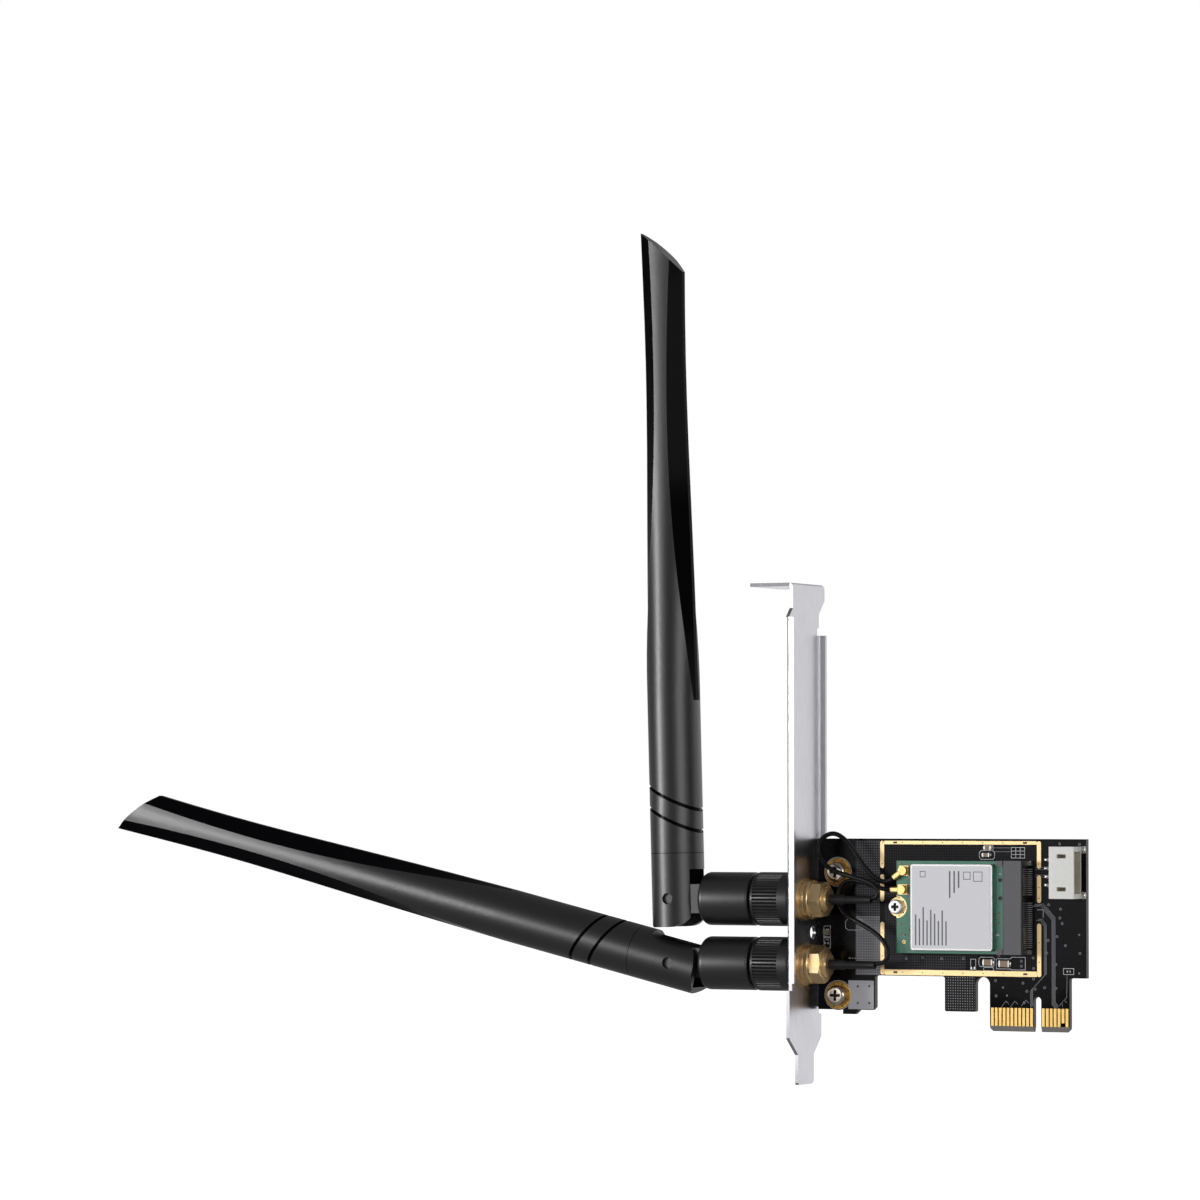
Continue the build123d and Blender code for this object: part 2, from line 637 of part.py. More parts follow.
def make_module_board():
    """The radio module's own circuit board, with a half hole for its screw."""
    shape = Pos(MODULE_LEFT_X + MODULE_LENGTH / 2, MODULE_MID_Z) * Rectangle(MODULE_LENGTH, MODULE_WIDTH)
    shape -= Pos(MODULE_LEFT_X, MODULE_MID_Z) * Circle(HALF_HOLE_RADIUS)
    return plate_xz(shape, MODULE_TOP_Y, MODULE_UNDER_Y)


def make_module_ring():
    """The gold half ring round the module's screw."""
    ring = Circle(HALF_RING_RADIUS) - Circle(HALF_HOLE_RADIUS)
    ring = Pos(MODULE_LEFT_X, MODULE_MID_Z) * ring
    keep = Pos(MODULE_LEFT_X + HALF_RING_RADIUS / 2, MODULE_MID_Z)
    ring &= keep * Rectangle(HALF_RING_RADIUS, 2 * HALF_RING_RADIUS)
    return plate_xz(ring, MODULE_TOP_Y - PLATING, MODULE_TOP_Y)


def can_outline(inset):
    """The shield can's outline in X and Z, drawn in by an inset."""
    length = CAN_LENGTH - 2 * inset
    width = MODULE_WIDTH - 2 * CAN_SIDE_MARGIN - 2 * inset
    mid_x = MODULE_LEFT_X + CAN_LEFT_GAP + CAN_LENGTH / 2
    corner = max(CAN_CORNER - inset, CAN_WALL)
    return Pos(mid_x, MODULE_MID_Z) * RectangleRounded(length, width, corner)


def make_shield_can():
    """The drawn metal can that covers the module's chips, open towards the board."""
    top = MODULE_TOP_Y - CAN_HEIGHT
    can = plate_xz(can_outline(0), top, MODULE_TOP_Y)
    can = chamfer(can.faces().sort_by(Axis.Y)[0].edges(), CAN_WALL / 2)
    return can - plate_xz(can_outline(CAN_WALL), top + CAN_WALL, MODULE_TOP_Y)


def make_label():
    """The bare paper label on the can."""
    top = MODULE_TOP_Y - CAN_HEIGHT
    return plate_xz(can_outline(LABEL_MARGIN), top - LABEL_THICK, top)


def make_post():
    """The threaded post that holds the module's free end above the board."""
    pillar = rod_y(MODULE_UNDER_Y, 0, MODULE_LEFT_X, MODULE_MID_Z, POST_RADIUS)
    bore = MODULE_SCREW_RADIUS + RUN_FIT
    return pillar - rod_y(MODULE_UNDER_Y - 1, 1, MODULE_LEFT_X, MODULE_MID_Z, bore)


def make_module_screw():
    """The small screw that holds the module down on its post."""
    sizes = (MODULE_SCREW_RADIUS, MODULE_SCREW_HEAD_RADIUS, MODULE_SCREW_HEAD_HEIGHT)
    seat = MODULE_TOP_Y - PLATING
    return pan_screw(MODULE_LEFT_X, MODULE_MID_Z, seat, MODULE_SCREW_TIP_Y, *sizes)


def make_socket():
    """The plastic socket that grips the module's contact edge, with two guide arms."""
    foot = MODULE_FOOT_Z - SOCKET_SIDE_MARGIN
    top = MODULE_TOP_Z + SOCKET_SIDE_MARGIN
    socket = block(SOCKET_LEFT_X, SOCKET_RIGHT_X, -SOCKET_HEIGHT, 0, foot, top)
    long_edge = socket.edges().filter_by(Axis.Z).group_by(Axis.Y)[0]
    socket = chamfer(long_edge, SOCKET_EDGE)
    for z0, z1 in ((foot, foot + SOCKET_ARM_WIDTH), (top - SOCKET_ARM_WIDTH, top)):
        socket += block(SOCKET_LEFT_X - SOCKET_ARM_REACH, SOCKET_LEFT_X, -SOCKET_HEIGHT, 0, z0, z1)
    grip = block(
        MODULE_LEFT_X,
        MODULE_RIGHT_X + RUN_FIT,
        MODULE_TOP_Y - RUN_FIT,
        MODULE_UNDER_Y + RUN_FIT,
        foot - 1,
        top + 1,
    )
    return socket - grip


def make_socket_contacts():
    """Spring contacts that come out of the back of the socket, in two groups beside its key."""
    foot = MODULE_FOOT_Z + SOCKET_END_MARGIN
    top = MODULE_TOP_Z - SOCKET_END_MARGIN
    back = SOCKET_RIGHT_X
    profile = Polygon(
        (back, -SOCKET_CONTACT_HEIGHT),
        (back + SOCKET_CONTACT_THICK, -SOCKET_CONTACT_HEIGHT),
        (back + SOCKET_CONTACT_THICK, -SOCKET_FOOT_THICK),
        (back + SOCKET_FOOT_REACH, -SOCKET_FOOT_THICK),
        (back + SOCKET_FOOT_REACH, 0),
        (back, 0),
        align=None,
    )
    half = SOCKET_CONTACT_WIDTH / 2
    count = int((top - foot) / SOCKET_PITCH) + 1
    places = [foot + i * SOCKET_PITCH for i in range(count)]
    keyed = [z for z in places if abs(z - SOCKET_KEY_Z) > SOCKET_KEY_GAP / 2]
    return [plate_xy(profile, z - half, z + half) for z in keyed]


def make_socket_clips():
    """Soldered metal clips at both ends of the socket."""
    clips = []
    for z in (MODULE_FOOT_Z + SOCKET_CLIP_WIDTH / 2, MODULE_TOP_Z - SOCKET_CLIP_WIDTH / 2):
        half = SOCKET_CLIP_WIDTH / 2
        reach = SOCKET_RIGHT_X + SOCKET_FOOT_REACH
        clips.append(block(SOCKET_RIGHT_X, reach, -SOCKET_CLIP_HEIGHT, 0, z - half, z + half))
    return clips


def make_receptacles():
    """Coaxial receptacles soldered on the module."""
    parts = []
    for x, z in PLUGS:
        half = RECEPTACLE_SIZE / 2
        base = MODULE_TOP_Y - RECEPTACLE_THICK
        pad = block(x - half, x + half, base, MODULE_TOP_Y, z - half, z + half)
        pad += rod_y(base - RECEPTACLE_POST_HEIGHT, base, x, z, RECEPTACLE_POST_RADIUS)
        parts.append(pad)
    return parts


def make_coax_plugs():
    """Snap-on coaxial plugs, each with a crimped tail that holds its lead."""
    parts = []
    base = MODULE_TOP_Y - RECEPTACLE_THICK
    top = base - PLUG_HEIGHT
    for (x, z), (tail_x, tail_z) in zip(PLUGS, TAILS):
        length = math.hypot(tail_x - x, tail_z - z)
        heading = math.degrees(math.atan2(tail_z - z, tail_x - x))
        cap = rod_y(top, base, x, z, PLUG_RADIUS)
        cap -= rod_y(top + PLUG_LIP, base + 1, x, z, RECEPTACLE_POST_RADIUS + RUN_FIT)
        half = PLUG_TAIL_WIDTH / 2
        tail = block(PLUG_RADIUS * PLUG_TAIL_START, length, CABLE_END_Y - half, base, -half, half)
        tail = chamfer(tail.edges().filter_by(Axis.X), half * PLUG_TAIL_EDGE)
        cap += Pos(x, 0, z) * Rot(0, -heading, 0) * tail
        parts.append(cap)
    return parts


def lead_path(start, route, end):
    """A lead's centre line: straight runs joined by arcs as large as the runs allow."""
    points = [Vector(*p) for p in (start, *route, end)]
    radii = []
    for before, here, after in zip(points, points[1:], points[2:]):
        turn = (here - before).get_angle(after - here)
        shorter = min((here - before).length, (after - here).length)
        radii.append(0.45 * shorter / math.tan(math.radians(turn / 2)))
    print("lead radii", [round(r, 1) for r in radii])
    return FilletPolyline(*points, radius=radii)


def make_lead(side):
    """The thin coaxial lead from a jack, over the card, to its plug on the module."""
    index = SIDES.index(side)
    route = (ROUTE_LOWER, ROUTE_UPPER)[index]
    tail_x, tail_z = TAILS[index]
    path = lead_path((JACK_BACK_X, JACK_Y, JACK_ZS[index]), route, (tail_x, CABLE_END_Y, tail_z))
    section = Plane(origin=path @ 0, z_dir=path % 0) * Circle(CABLE_RADIUS)
    tube = sweep(section, path=path)
    share = tube.volume / (math.pi * CABLE_RADIUS**2 * path.length)
    print("lead length", round(path.length, 1), "volume share", round(share, 4))
    return tube


def make_shrink_sleeve(side):
    """The shrunk sleeve over a jack's tail and the start of its lead."""
    index = SIDES.index(side)
    step = JACK_BACK_X + SHRINK_LENGTH
    end = step + SHRINK_TAIL_LENGTHS[index]
    points = (
        (JACK_BACK_X, CABLE_RADIUS),
        (JACK_BACK_X, SHRINK_RADIUS),
        (step - SHRINK_STEP, SHRINK_RADIUS),
        (step, SHRINK_TAIL_RADIUS),
        (end, SHRINK_TAIL_RADIUS),
        (end, CABLE_RADIUS),
    )
    return turned(points, JACK_Y, JACK_ZS[index])


def make_header():
    """The plastic housing of the four-pin header, with its mouth towards the card's far end."""
    right = HEADER_LEFT_X + HEADER_LENGTH
    top = HEADER_FOOT_Z + HEADER_WIDTH
    mid_z = HEADER_FOOT_Z + HEADER_WIDTH / 2
    shell = block(HEADER_LEFT_X, right, -HEADER_HEIGHT, 0, HEADER_FOOT_Z, top)
    hollow_left = HEADER_LEFT_X + HEADER_BACK
    shell -= block(
        hollow_left,
        right + 1,
        -HEADER_HEIGHT + HEADER_WALL,
        -HEADER_WALL,
        HEADER_FOOT_Z + HEADER_SIDE,
        top - HEADER_SIDE,
    )
    mid_x = (HEADER_LEFT_X + right) / 2
    for z in (HEADER_FOOT_Z + HEADER_SLOT_MARGIN, top - HEADER_SLOT_MARGIN):
        half_x = HEADER_SLOT_LENGTH / 2
        half_z = HEADER_SLOT_WIDTH / 2
        cut = (-HEADER_HEIGHT - 1, -HEADER_HEIGHT + HEADER_WALL + 0.1)
        shell -= block(mid_x - half_x, mid_x + half_x, *cut, z - half_z, z + half_z)
    mid_y = -HEADER_HEIGHT / 2
    half = PIN_SIZE / 2
    for i in range(PIN_COUNT):
        z = mid_z + (i - (PIN_COUNT - 1) / 2) * PIN_PITCH
        shell -= block(HEADER_LEFT_X - 1, hollow_left + 1, mid_y - half, mid_y + half, z - half, z + half)
    return shell


def make_header_pins():
    """Four bent pins: a soldered tail, a riser and a blade inside the housing."""
    mid_z = HEADER_FOOT_Z + HEADER_WIDTH / 2
    mid_y = -HEADER_HEIGHT / 2
    half = PIN_SIZE / 2
    riser = HEADER_LEFT_X - PIN_SIZE
    profile = Polygon(
        (HEADER_LEFT_X - PIN_TAIL, 0),
        (HEADER_LEFT_X - PIN_TAIL, -half),
        (riser - half, -half),
        (riser - half, mid_y - half),
        (HEADER_LEFT_X + PIN_REACH, mid_y - half),
        (HEADER_LEFT_X + PIN_REACH, mid_y + half),
        (riser + half, mid_y + half),
        (riser + half, 0),
        align=None,
    )
    places = [mid_z + (i - (PIN_COUNT - 1) / 2) * PIN_PITCH for i in range(PIN_COUNT)]
    return [plate_xy(profile, z - half, z + half) for z in places]


def make_header_tabs():
    """Soldered tabs that hold the housing's open end to the board."""
    right = HEADER_LEFT_X + HEADER_LENGTH
    top = HEADER_FOOT_Z + HEADER_WIDTH
    tabs = []
    for z0, z1 in ((HEADER_FOOT_Z, HEADER_FOOT_Z + SOLDER_TAB_WIDTH), (top - SOLDER_TAB_WIDTH, top)):
        tabs.append(block(right, right + SOLDER_TAB_REACH, -SOLDER_TAB_THICK, 0, z0, z1))
    return tabs


def chip_body(x, z, length, width, height):
    """The middle of a chip part, between its two metal ends."""
    half = length / 2 - CHIP_END
    return block(x - half, x + half, -height, 0, z - width / 2, z + width / 2)


def make_capacitors():
    """Ceramic capacitor bodies."""
    return [chip_body(*chip, CAPACITOR_HEIGHT) for chip in CAPACITORS]


def make_resistors():
    """Resistor bodies."""
    return [chip_body(*chip, RESISTOR_HEIGHT) for chip in RESISTORS]


def make_chip_ends():
    """Tinned ends of the capacitors and resistors."""
    ends = []
    for chips, height in ((CAPACITORS, CAPACITOR_HEIGHT), (RESISTORS, RESISTOR_HEIGHT)):
        for x, z, length, width in chips:
            for x0 in (x - length / 2, x + length / 2 - CHIP_END):
                ends.append(block(x0, x0 + CHIP_END, -height, 0, z - width / 2, z + width / 2))
    return ends


def make_lamp():
    """The small lamp that shines through the hole in the bracket."""
    half = LAMP_WIDTH / 2
    x0 = LAMP_X - LAMP_LENGTH / 2
    front = x0 + LAMP_FOOT
    lamp = block(front, x0 + LAMP_LENGTH, -LAMP_HEIGHT, 0, LAMP_Z - half, LAMP_Z + half)
    return lamp + Pos(front, -LAMP_HEIGHT / 2, LAMP_Z) * Sphere(half * LAMP_DOME_SHARE)


def make_jack(z):
    """A threaded antenna jack: flange outside the bracket, mouth in front and tail behind."""
    front = -JACK_FRONT_REACH
    mouth = front + JACK_MOUTH_DEPTH
    tail = JACK_BACK_X - JACK_TAIL_LENGTH
    points = (
        (mouth, INSULATOR_RADIUS),
        (mouth, JACK_MOUTH_RADIUS),
        (front, JACK_MOUTH_RADIUS),
        (front, THREAD_RADIUS - THREAD_EDGE),
        (front + THREAD_EDGE, THREAD_RADIUS),
        (-JACK_FLANGE_THICK, THREAD_RADIUS),
        (-JACK_FLANGE_THICK, JACK_FLANGE_RADIUS),
        (0, JACK_FLANGE_RADIUS),
        (0, THREAD_RADIUS),
        (tail, THREAD_RADIUS),
        (tail + THREAD_EDGE, JACK_TAIL_RADIUS),
        (JACK_BACK_X, JACK_TAIL_RADIUS),
        (JACK_BACK_X, 0),
        (JACK_BACK_X - JACK_PLUG_THICK, 0),
        (JACK_BACK_X - JACK_PLUG_THICK, INSULATOR_RADIUS),
    )
    return turned(points, JACK_Y, z)


def make_jack_insulator(z):
    """The white insulator inside a jack."""
    face = -JACK_FRONT_REACH + JACK_MOUTH_DEPTH
    core = rod_x(face, JACK_BACK_X - JACK_PLUG_THICK, JACK_Y, z, INSULATOR_RADIUS)
    return core - rod_x(face - 1, JACK_BACK_X, JACK_Y, z, CONTACT_PIN_RADIUS)


def make_jack_pin(z):
    """The centre pin of a jack."""
    face = -JACK_FRONT_REACH + JACK_MOUTH_DEPTH
    end = JACK_BACK_X - JACK_PLUG_THICK
    return rod_x(face - CONTACT_PIN_PROUD, end, JACK_Y, z, CONTACT_PIN_RADIUS)


def make_flat_washer(z):
    """The plain washer behind the bracket."""
    ring = rod_x(SHEET, WASHER_TOP_X, JACK_Y, z, FLAT_WASHER_RADIUS)
    return ring - rod_x(SHEET - 1, WASHER_TOP_X + 1, JACK_Y, z, THREAD_RADIUS + HOLE_CLEARANCE)


def make_lock_washer(x0, z):
    """A lock washer: a ring with teeth inside that bite the nut's seat."""
    bore = THREAD_RADIUS + HOLE_CLEARANCE
    gaps = Circle(bore)
    for i in range(LOCK_WASHER_TEETH):
        gap = Pos(bore, 0) * Rectangle(2 * LOCK_TOOTH_DEPTH, LOCK_TOOTH_GAP)
        gaps += Rot(0, 0, i * 360 / LOCK_WASHER_TEETH) * gap
    washer = rod_x(x0, x0 + LOCK_WASHER_THICK, 0, 0, LOCK_WASHER_RADIUS)
    rims = washer.edges().group_by(Axis.X)
    washer = chamfer(rims[0] + rims[-1], LOCK_WASHER_EDGE)
    return Pos(0, JACK_Y, z) * (washer - plate_yz(gaps, x0 - 1, x0 + LOCK_WASHER_THICK + 1))


def make_jack_nut(index):
    """The hexagon nut that clamps a jack to the bracket, with both faces' corners turned off."""
    corner = NUT_ACROSS_FLATS / math.sqrt(3)
    prism = Plane.YZ * RegularPolygon(corner, 6)
    nut = Pos(NUT_LEFT_X, 0, 0) * Rot(NUT_TURNS[index], 0, 0) * extrude(prism, amount=NUT_THICK)
    points = (
        (NUT_LEFT_X, THREAD_RADIUS + RUN_FIT / 2),
        (NUT_LEFT_X, NUT_ACROSS_FLATS / 2),
        (NUT_LEFT_X + NUT_EDGE, corner),
        (NUT_RIGHT_X - NUT_EDGE, corner),
        (NUT_RIGHT_X, NUT_ACROSS_FLATS / 2),
        (NUT_RIGHT_X, THREAD_RADIUS + RUN_FIT / 2),
    )
    blank = turned(points, 0, 0)
    return Pos(0, JACK_Y, JACK_ZS[index]) * (nut & blank)


def make_knurled_nut(z):
    """The antenna's plastic coupling nut with a straight-grooved grip."""
    grip = Circle(KNURL_RADIUS)
    half = KNURL_GROOVE_WIDTH / 2
    floor = KNURL_RADIUS - KNURL_GROOVE_DEPTH
    groove = Polygon((floor, 0), (KNURL_RADIUS, -half), (KNURL_RADIUS, half), align=None)
    for i in range(KNURL_GROOVES):
        grip -= Rot(0, 0, i * 360 / KNURL_GROOVES) * groove
    front = KNURL_LEFT_X + KNURL_FRONT_RING
    back = KNURL_RIGHT_X - KNURL_BACK_RING
    nut = plate_yz(grip, front, back)
    for x0, x1, end in ((KNURL_LEFT_X, front, 0), (back, KNURL_RIGHT_X, -1)):
        ring = rod_x(x0, x1, 0, 0, KNURL_RADIUS)
        nut += fillet(ring.edges().group_by(Axis.X)[end], KNURL_EDGE)
    nut -= rod_x(KNURL_LEFT_X - 1, KNURL_RIGHT_X + 1, 0, 0, INSERT_RADIUS)
    return Pos(0, JACK_Y, z) * nut


def make_nut_insert(z):
    """The threaded brass core of the coupling nut, whose lip holds the antenna's plug."""
    right = -JACK_FLANGE_THICK - SEAT_GAP
    bore = THREAD_RADIUS + RUN_FIT
    lip = KNURL_LEFT_X + INSERT_LIP
    points = (
        (KNURL_LEFT_X, PLUG_NECK_RADIUS + RUN_FIT),
        (KNURL_LEFT_X, INSERT_RADIUS),
        (right, INSERT_RADIUS),
        (right, bore),
        (lip, bore),
        (lip, PLUG_NECK_RADIUS + RUN_FIT),
    )
    return turned(points, JACK_Y, z)


def make_plug_shell(z):
    """The antenna's plug: nose in the jack, flange behind the nut's lip, shank in the barrel."""
    nose = -JACK_FRONT_REACH + JACK_MOUTH_DEPTH - SEAT_GAP
    flange_right = -JACK_FRONT_REACH - RUN_FIT
    flange_left = KNURL_LEFT_X + INSERT_LIP + RUN_FIT
    shank_left = BARREL_RIGHT_X - PLUG_SHANK_LENGTH
    bore_left = nose - PLUG_BORE_DEPTH
    points = (
        (nose, INSULATOR_RADIUS),
        (nose, JACK_MOUTH_RADIUS - RUN_FIT),
        (flange_right, JACK_MOUTH_RADIUS - RUN_FIT),
        (flange_right, PLUG_FLANGE_RADIUS),
        (flange_left, PLUG_FLANGE_RADIUS),
        (flange_left, PLUG_NECK_RADIUS),
        (BARREL_RIGHT_X, PLUG_NECK_RADIUS),
        (BARREL_RIGHT_X, PLUG_SHANK_RADIUS),
        (shank_left, PLUG_SHANK_RADIUS),
        (shank_left, 0),
        (bore_left, 0),
        (bore_left, INSULATOR_RADIUS),
    )
    return turned(points, JACK_Y, z)


def make_plug_insulator(z):
    """The insulator inside the antenna's plug."""
    nose = -JACK_FRONT_REACH + JACK_MOUTH_DEPTH - SEAT_GAP
    core = rod_x(nose - PLUG_BORE_DEPTH, nose, JACK_Y, z, INSULATOR_RADIUS)
    return core - rod_x(nose - PLUG_BORE_DEPTH - 1, nose + 1, JACK_Y, z, SOCKET_PIN_RADIUS)


def make_plug_contact(z):
    """The centre socket of the antenna's plug, which the jack's pin enters."""
    nose = -JACK_FRONT_REACH + JACK_MOUTH_DEPTH - SEAT_GAP
    contact = rod_x(nose - PLUG_BORE_DEPTH, nose, JACK_Y, z, SOCKET_PIN_RADIUS)
    bottom = nose - CONTACT_PIN_PROUD - SEAT_GAP
    return contact - rod_x(bottom, nose + 1, JACK_Y, z, CONTACT_PIN_RADIUS + RUN_FIT)


def make_barrel(z):
    """The antenna's barrel, turned round outside, with the elbow's round-ended knuckle."""
    barrel = rod_x(BARREL_LEFT_X, BARREL_RIGHT_X, 0, 0, BARREL_RADIUS)
    barrel = fillet(barrel.edges().group_by(Axis.X)[0], BARREL_SHOULDER)
    barrel = fillet(barrel.edges().group_by(Axis.X)[-1], BARREL_NOSE)
    knuckle = Pos(ELBOW_X, 0) * Circle(KNUCKLE_RADIUS)
    run = ELBOW_REACH + BARREL_SHOULDER
    knuckle += Pos(ELBOW_X + run / 2, 0) * Rectangle(run, KNUCKLE_NECK)
    knuckle = plate_xz(knuckle, -KNUCKLE_THICK / 2, KNUCKLE_THICK / 2)
    barrel += knuckle
    barrel -= rod_y(-KNUCKLE_THICK, KNUCKLE_THICK, ELBOW_X, 0, HINGE_PIN_RADIUS + RUN_FIT)
    barrel -= rod_x(BARREL_RIGHT_X - PLUG_SHANK_LENGTH, BARREL_RIGHT_X + 1, 0, 0, PLUG_SHANK_RADIUS)
    return Pos(0, JACK_Y, z) * barrel


def elbow_plane(index):
    """The blade's own frame: its Z runs along the blade and its X towards the fork's open side."""
    rise = math.radians(ELBOW_ANGLES[index])
    along = (-math.cos(rise), 0, math.sin(rise))
    across = (math.sin(rise), 0, math.cos(rise))
    return Plane(origin=(ELBOW_X, JACK_Y, JACK_ZS[index]), x_dir=across, z_dir=along)


def make_hinge_pin():
    """The elbow's pin, pressed into both arms of the fork."""
    end = BARREL_RADIUS - HINGE_PIN_RECESS
    return rod_y(-end, end, 0, 0, HINGE_PIN_RADIUS)


def make_fork():
    """The forked foot of the blade: two arms beside the knuckle and a spigot for the cover."""
    heel = Pos(-FORK_TAIL / 2, -FORK_TAIL / 2) * Rectangle(FORK_TAIL, FORK_TAIL)
    side = Circle(FORK_TAIL) + (heel & Circle(FORK_HEEL_REACH))
    side += Pos(0, FORK_SEAM / 2) * Rectangle(2 * FORK_TAIL, FORK_SEAM)
    fork = post(-FORK_TAIL, FORK_SEAM, BARREL_RADIUS) & plate_xz(side, -BARREL_RADIUS, BARREL_RADIUS)
    fork += post(FORK_SEAM, FORK_SEAM + FORK_SPIGOT_LENGTH, FORK_SPIGOT_RADIUS)
    wall = KNUCKLE_RADIUS + SEAT_GAP
    half = FORK_SLOT / 2
    fork -= block(-wall, BARREL_RADIUS + 1, -half, half, -FORK_TAIL - 1, FORK_SLOT_TOP)
    return fork - rod_y(-BARREL_RADIUS - 1, BARREL_RADIUS + 1, 0, 0, HINGE_PIN_RADIUS)


def blade_section(along, half_width, band):
    """One section of the blade: round bands in front and behind, four facets and two rims."""
    taper = (along - ROUND_END) / (TIP_LONG - ROUND_END)
    half_thick = BARREL_RADIUS + (BLADE_TIP_HALF_THICK - BARREL_RADIUS) * taper
    band_y = half_thick * math.sqrt(1 - (band / BARREL_RADIUS) ** 2)
    rim = BLADE_RIM / 2
    outline = Line((band, -band_y), (half_width, -rim))
    outline += Line((half_width, -rim), (half_width, rim))
    outline += Line((half_width, rim), (band, band_y))
    outline += ThreePointArc((band, band_y), (0, half_thick), (-band, band_y))
    outline += Line((-band, band_y), (-half_width, rim))
    outline += Line((-half_width, rim), (-half_width, -rim))
    outline += Line((-half_width, -rim), (-band, -band_y))
    outline += ThreePointArc((-band, -band_y), (0, -half_thick), (band, -band_y))
    return Pos(0, 0, along) * make_face(outline)


def make_blade():
    """The antenna's cover: a round foot that flattens into a faceted blade with a slanted tip."""
    band = BARREL_RADIUS * math.sin(math.radians(ROUND_BAND_ANGLE))
    rim_width = math.sqrt(BARREL_RADIUS**2 - (BLADE_RIM / 2) ** 2)
    sections = [blade_section(ROUND_END, rim_width, band)]
    sections += [blade_section(*station) for station in BLADE_STATIONS]
    blade = post(FORK_SEAM, ROUND_END, BARREL_RADIUS) + loft(sections)

    # The tip is one slanted, slightly domed face, longer on the closed side of the fork
    wide = BARREL_RADIUS
    mid = (TIP_LONG + TIP_SHORT) / 2
    slope = math.atan2(TIP_LONG - TIP_SHORT, 2 * wide)
    crown = (TIP_BULGE * math.sin(slope), mid + TIP_BULGE * math.cos(slope))
    outline = Line((-wide, FORK_SEAM), (wide, FORK_SEAM))
    outline += Line((wide, FORK_SEAM), (wide, TIP_SHORT))
    outline += ThreePointArc((wide, TIP_SHORT), crown, (-wide, TIP_LONG))
    outline += Line((-wide, TIP_LONG), (-wide, FORK_SEAM))
    blade &= plate_xz(make_face(outline), -BARREL_RADIUS - 1, BARREL_RADIUS + 1)

    # Two slanted ring grooves decorate the foot
    for centre in GROOVE_CENTRES:
        disc = Cylinder(2 * BARREL_RADIUS, GROOVE_WIDTH)
        disc -= Rot(0, -GROOVE_SLOPE, 0) * Cylinder(BARREL_RADIUS - GROOVE_DEPTH, 4 * BARREL_RADIUS)
        blade -= Pos(0, 0, centre) * Rot(0, GROOVE_SLOPE, 0) * disc

    seat = FORK_SEAM + FORK_SPIGOT_LENGTH
    blade -= post(FORK_SEAM, seat, FORK_SPIGOT_RADIUS)
    return blade - post(seat, seat + RADIATOR_LENGTH + SEAT_GAP, RADIATOR_RADIUS + RUN_FIT)


def make_radiator():
    """The brass tube inside the cover that is the antenna itself, standing on the fork's spigot."""
    seat = FORK_SEAM + FORK_SPIGOT_LENGTH
    return post(seat, seat + RADIATOR_LENGTH, RADIATOR_RADIUS)


nodes = {
    "bracket": make_bracket(),
    "main_board": make_board(),
    "edge_contacts": make_edge_contacts(),
    "ground_frame": make_ground_frame(),
    "screw_pads": make_screw_pads(),
    "board_screws": make_board_screws(),
    "module_board": make_module_board(),
    "module_ring": make_module_ring(),
    "shield_can": make_shield_can(),
    "shield_label": make_label(),
    "module_post": make_post(),
    "module_screw": make_module_screw(),
    "module_socket": make_socket(),
    "socket_contacts": make_socket_contacts(),
    "socket_clips": make_socket_clips(),
    "coax_receptacles": make_receptacles(),
    "coax_plugs": make_coax_plugs(),
    "header_housing": make_header(),
    "header_pins": make_header_pins(),
    "header_tabs": make_header_tabs(),
    "capacitors": make_capacitors(),
    "resistors": make_resistors(),
    "chip_ends": make_chip_ends(),
    "status_lamp": make_lamp(),
    "jack_insulators": [make_jack_insulator(z) for z in JACK_ZS],
    "jack_pins": [make_jack_pin(z) for z in JACK_ZS],
    "flat_washers": [make_flat_washer(z) for z in JACK_ZS],
    "lock_washers": [
        make_lock_washer(WASHER_TOP_X + i * LOCK_WASHER_THICK, z)
        for z in JACK_ZS
        for i in range(LOCK_WASHER_COUNT)
    ],
    "jack_nuts": [make_jack_nut(index) for index in range(len(JACK_ZS))],
}

for index, side in enumerate(SIDES):
    z = JACK_ZS[index]
    place = elbow_plane(index).location
    nodes[side + "_jack"] = make_jack(z)
    nodes[side + "_lead"] = make_lead(side)
    nodes[side + "_shrink_sleeve"] = make_shrink_sleeve(side)
    nodes[side + "_coupling_nut"] = make_knurled_nut(z)
    nodes[side + "_nut_insert"] = make_nut_insert(z)
    nodes[side + "_plug_shell"] = make_plug_shell(z)
    nodes[side + "_plug_insulator"] = make_plug_insulator(z)
    nodes[side + "_plug_contact"] = make_plug_contact(z)
    nodes[side + "_barrel"] = make_barrel(z)
    nodes[side + "_hinge_pin"] = place * make_hinge_pin()
    nodes[side + "_fork"] = place * make_fork()
    nodes[side + "_blade"] = place * make_blade()
    nodes[side + "_radiator"] = place * make_radiator()

os.makedirs("parts", exist_ok=True)
for name, shape in nodes.items():
    solids = shape if isinstance(shape, list) else [shape]
    pieces = [solid for part in solids for solid in part.solids()]
    export_step(Compound(children=pieces), "parts/" + name + ".step")
    print(name, len(pieces))
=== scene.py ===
# %% [markdown]
# A wireless network card for a computer, with a folded steel bracket, a black circuit board, a
# small radio module and two hinged stick antennas. The solid parts come packed, at their real size
# and place, so this lesson is about what makes them look real: finishes, printed marks, leads and light.
# Every length is written in millimetres and turned to metres where Blender needs it.

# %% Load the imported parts
import json
import math
import random
import bmesh
import bpy
from mathutils import Matrix, Vector


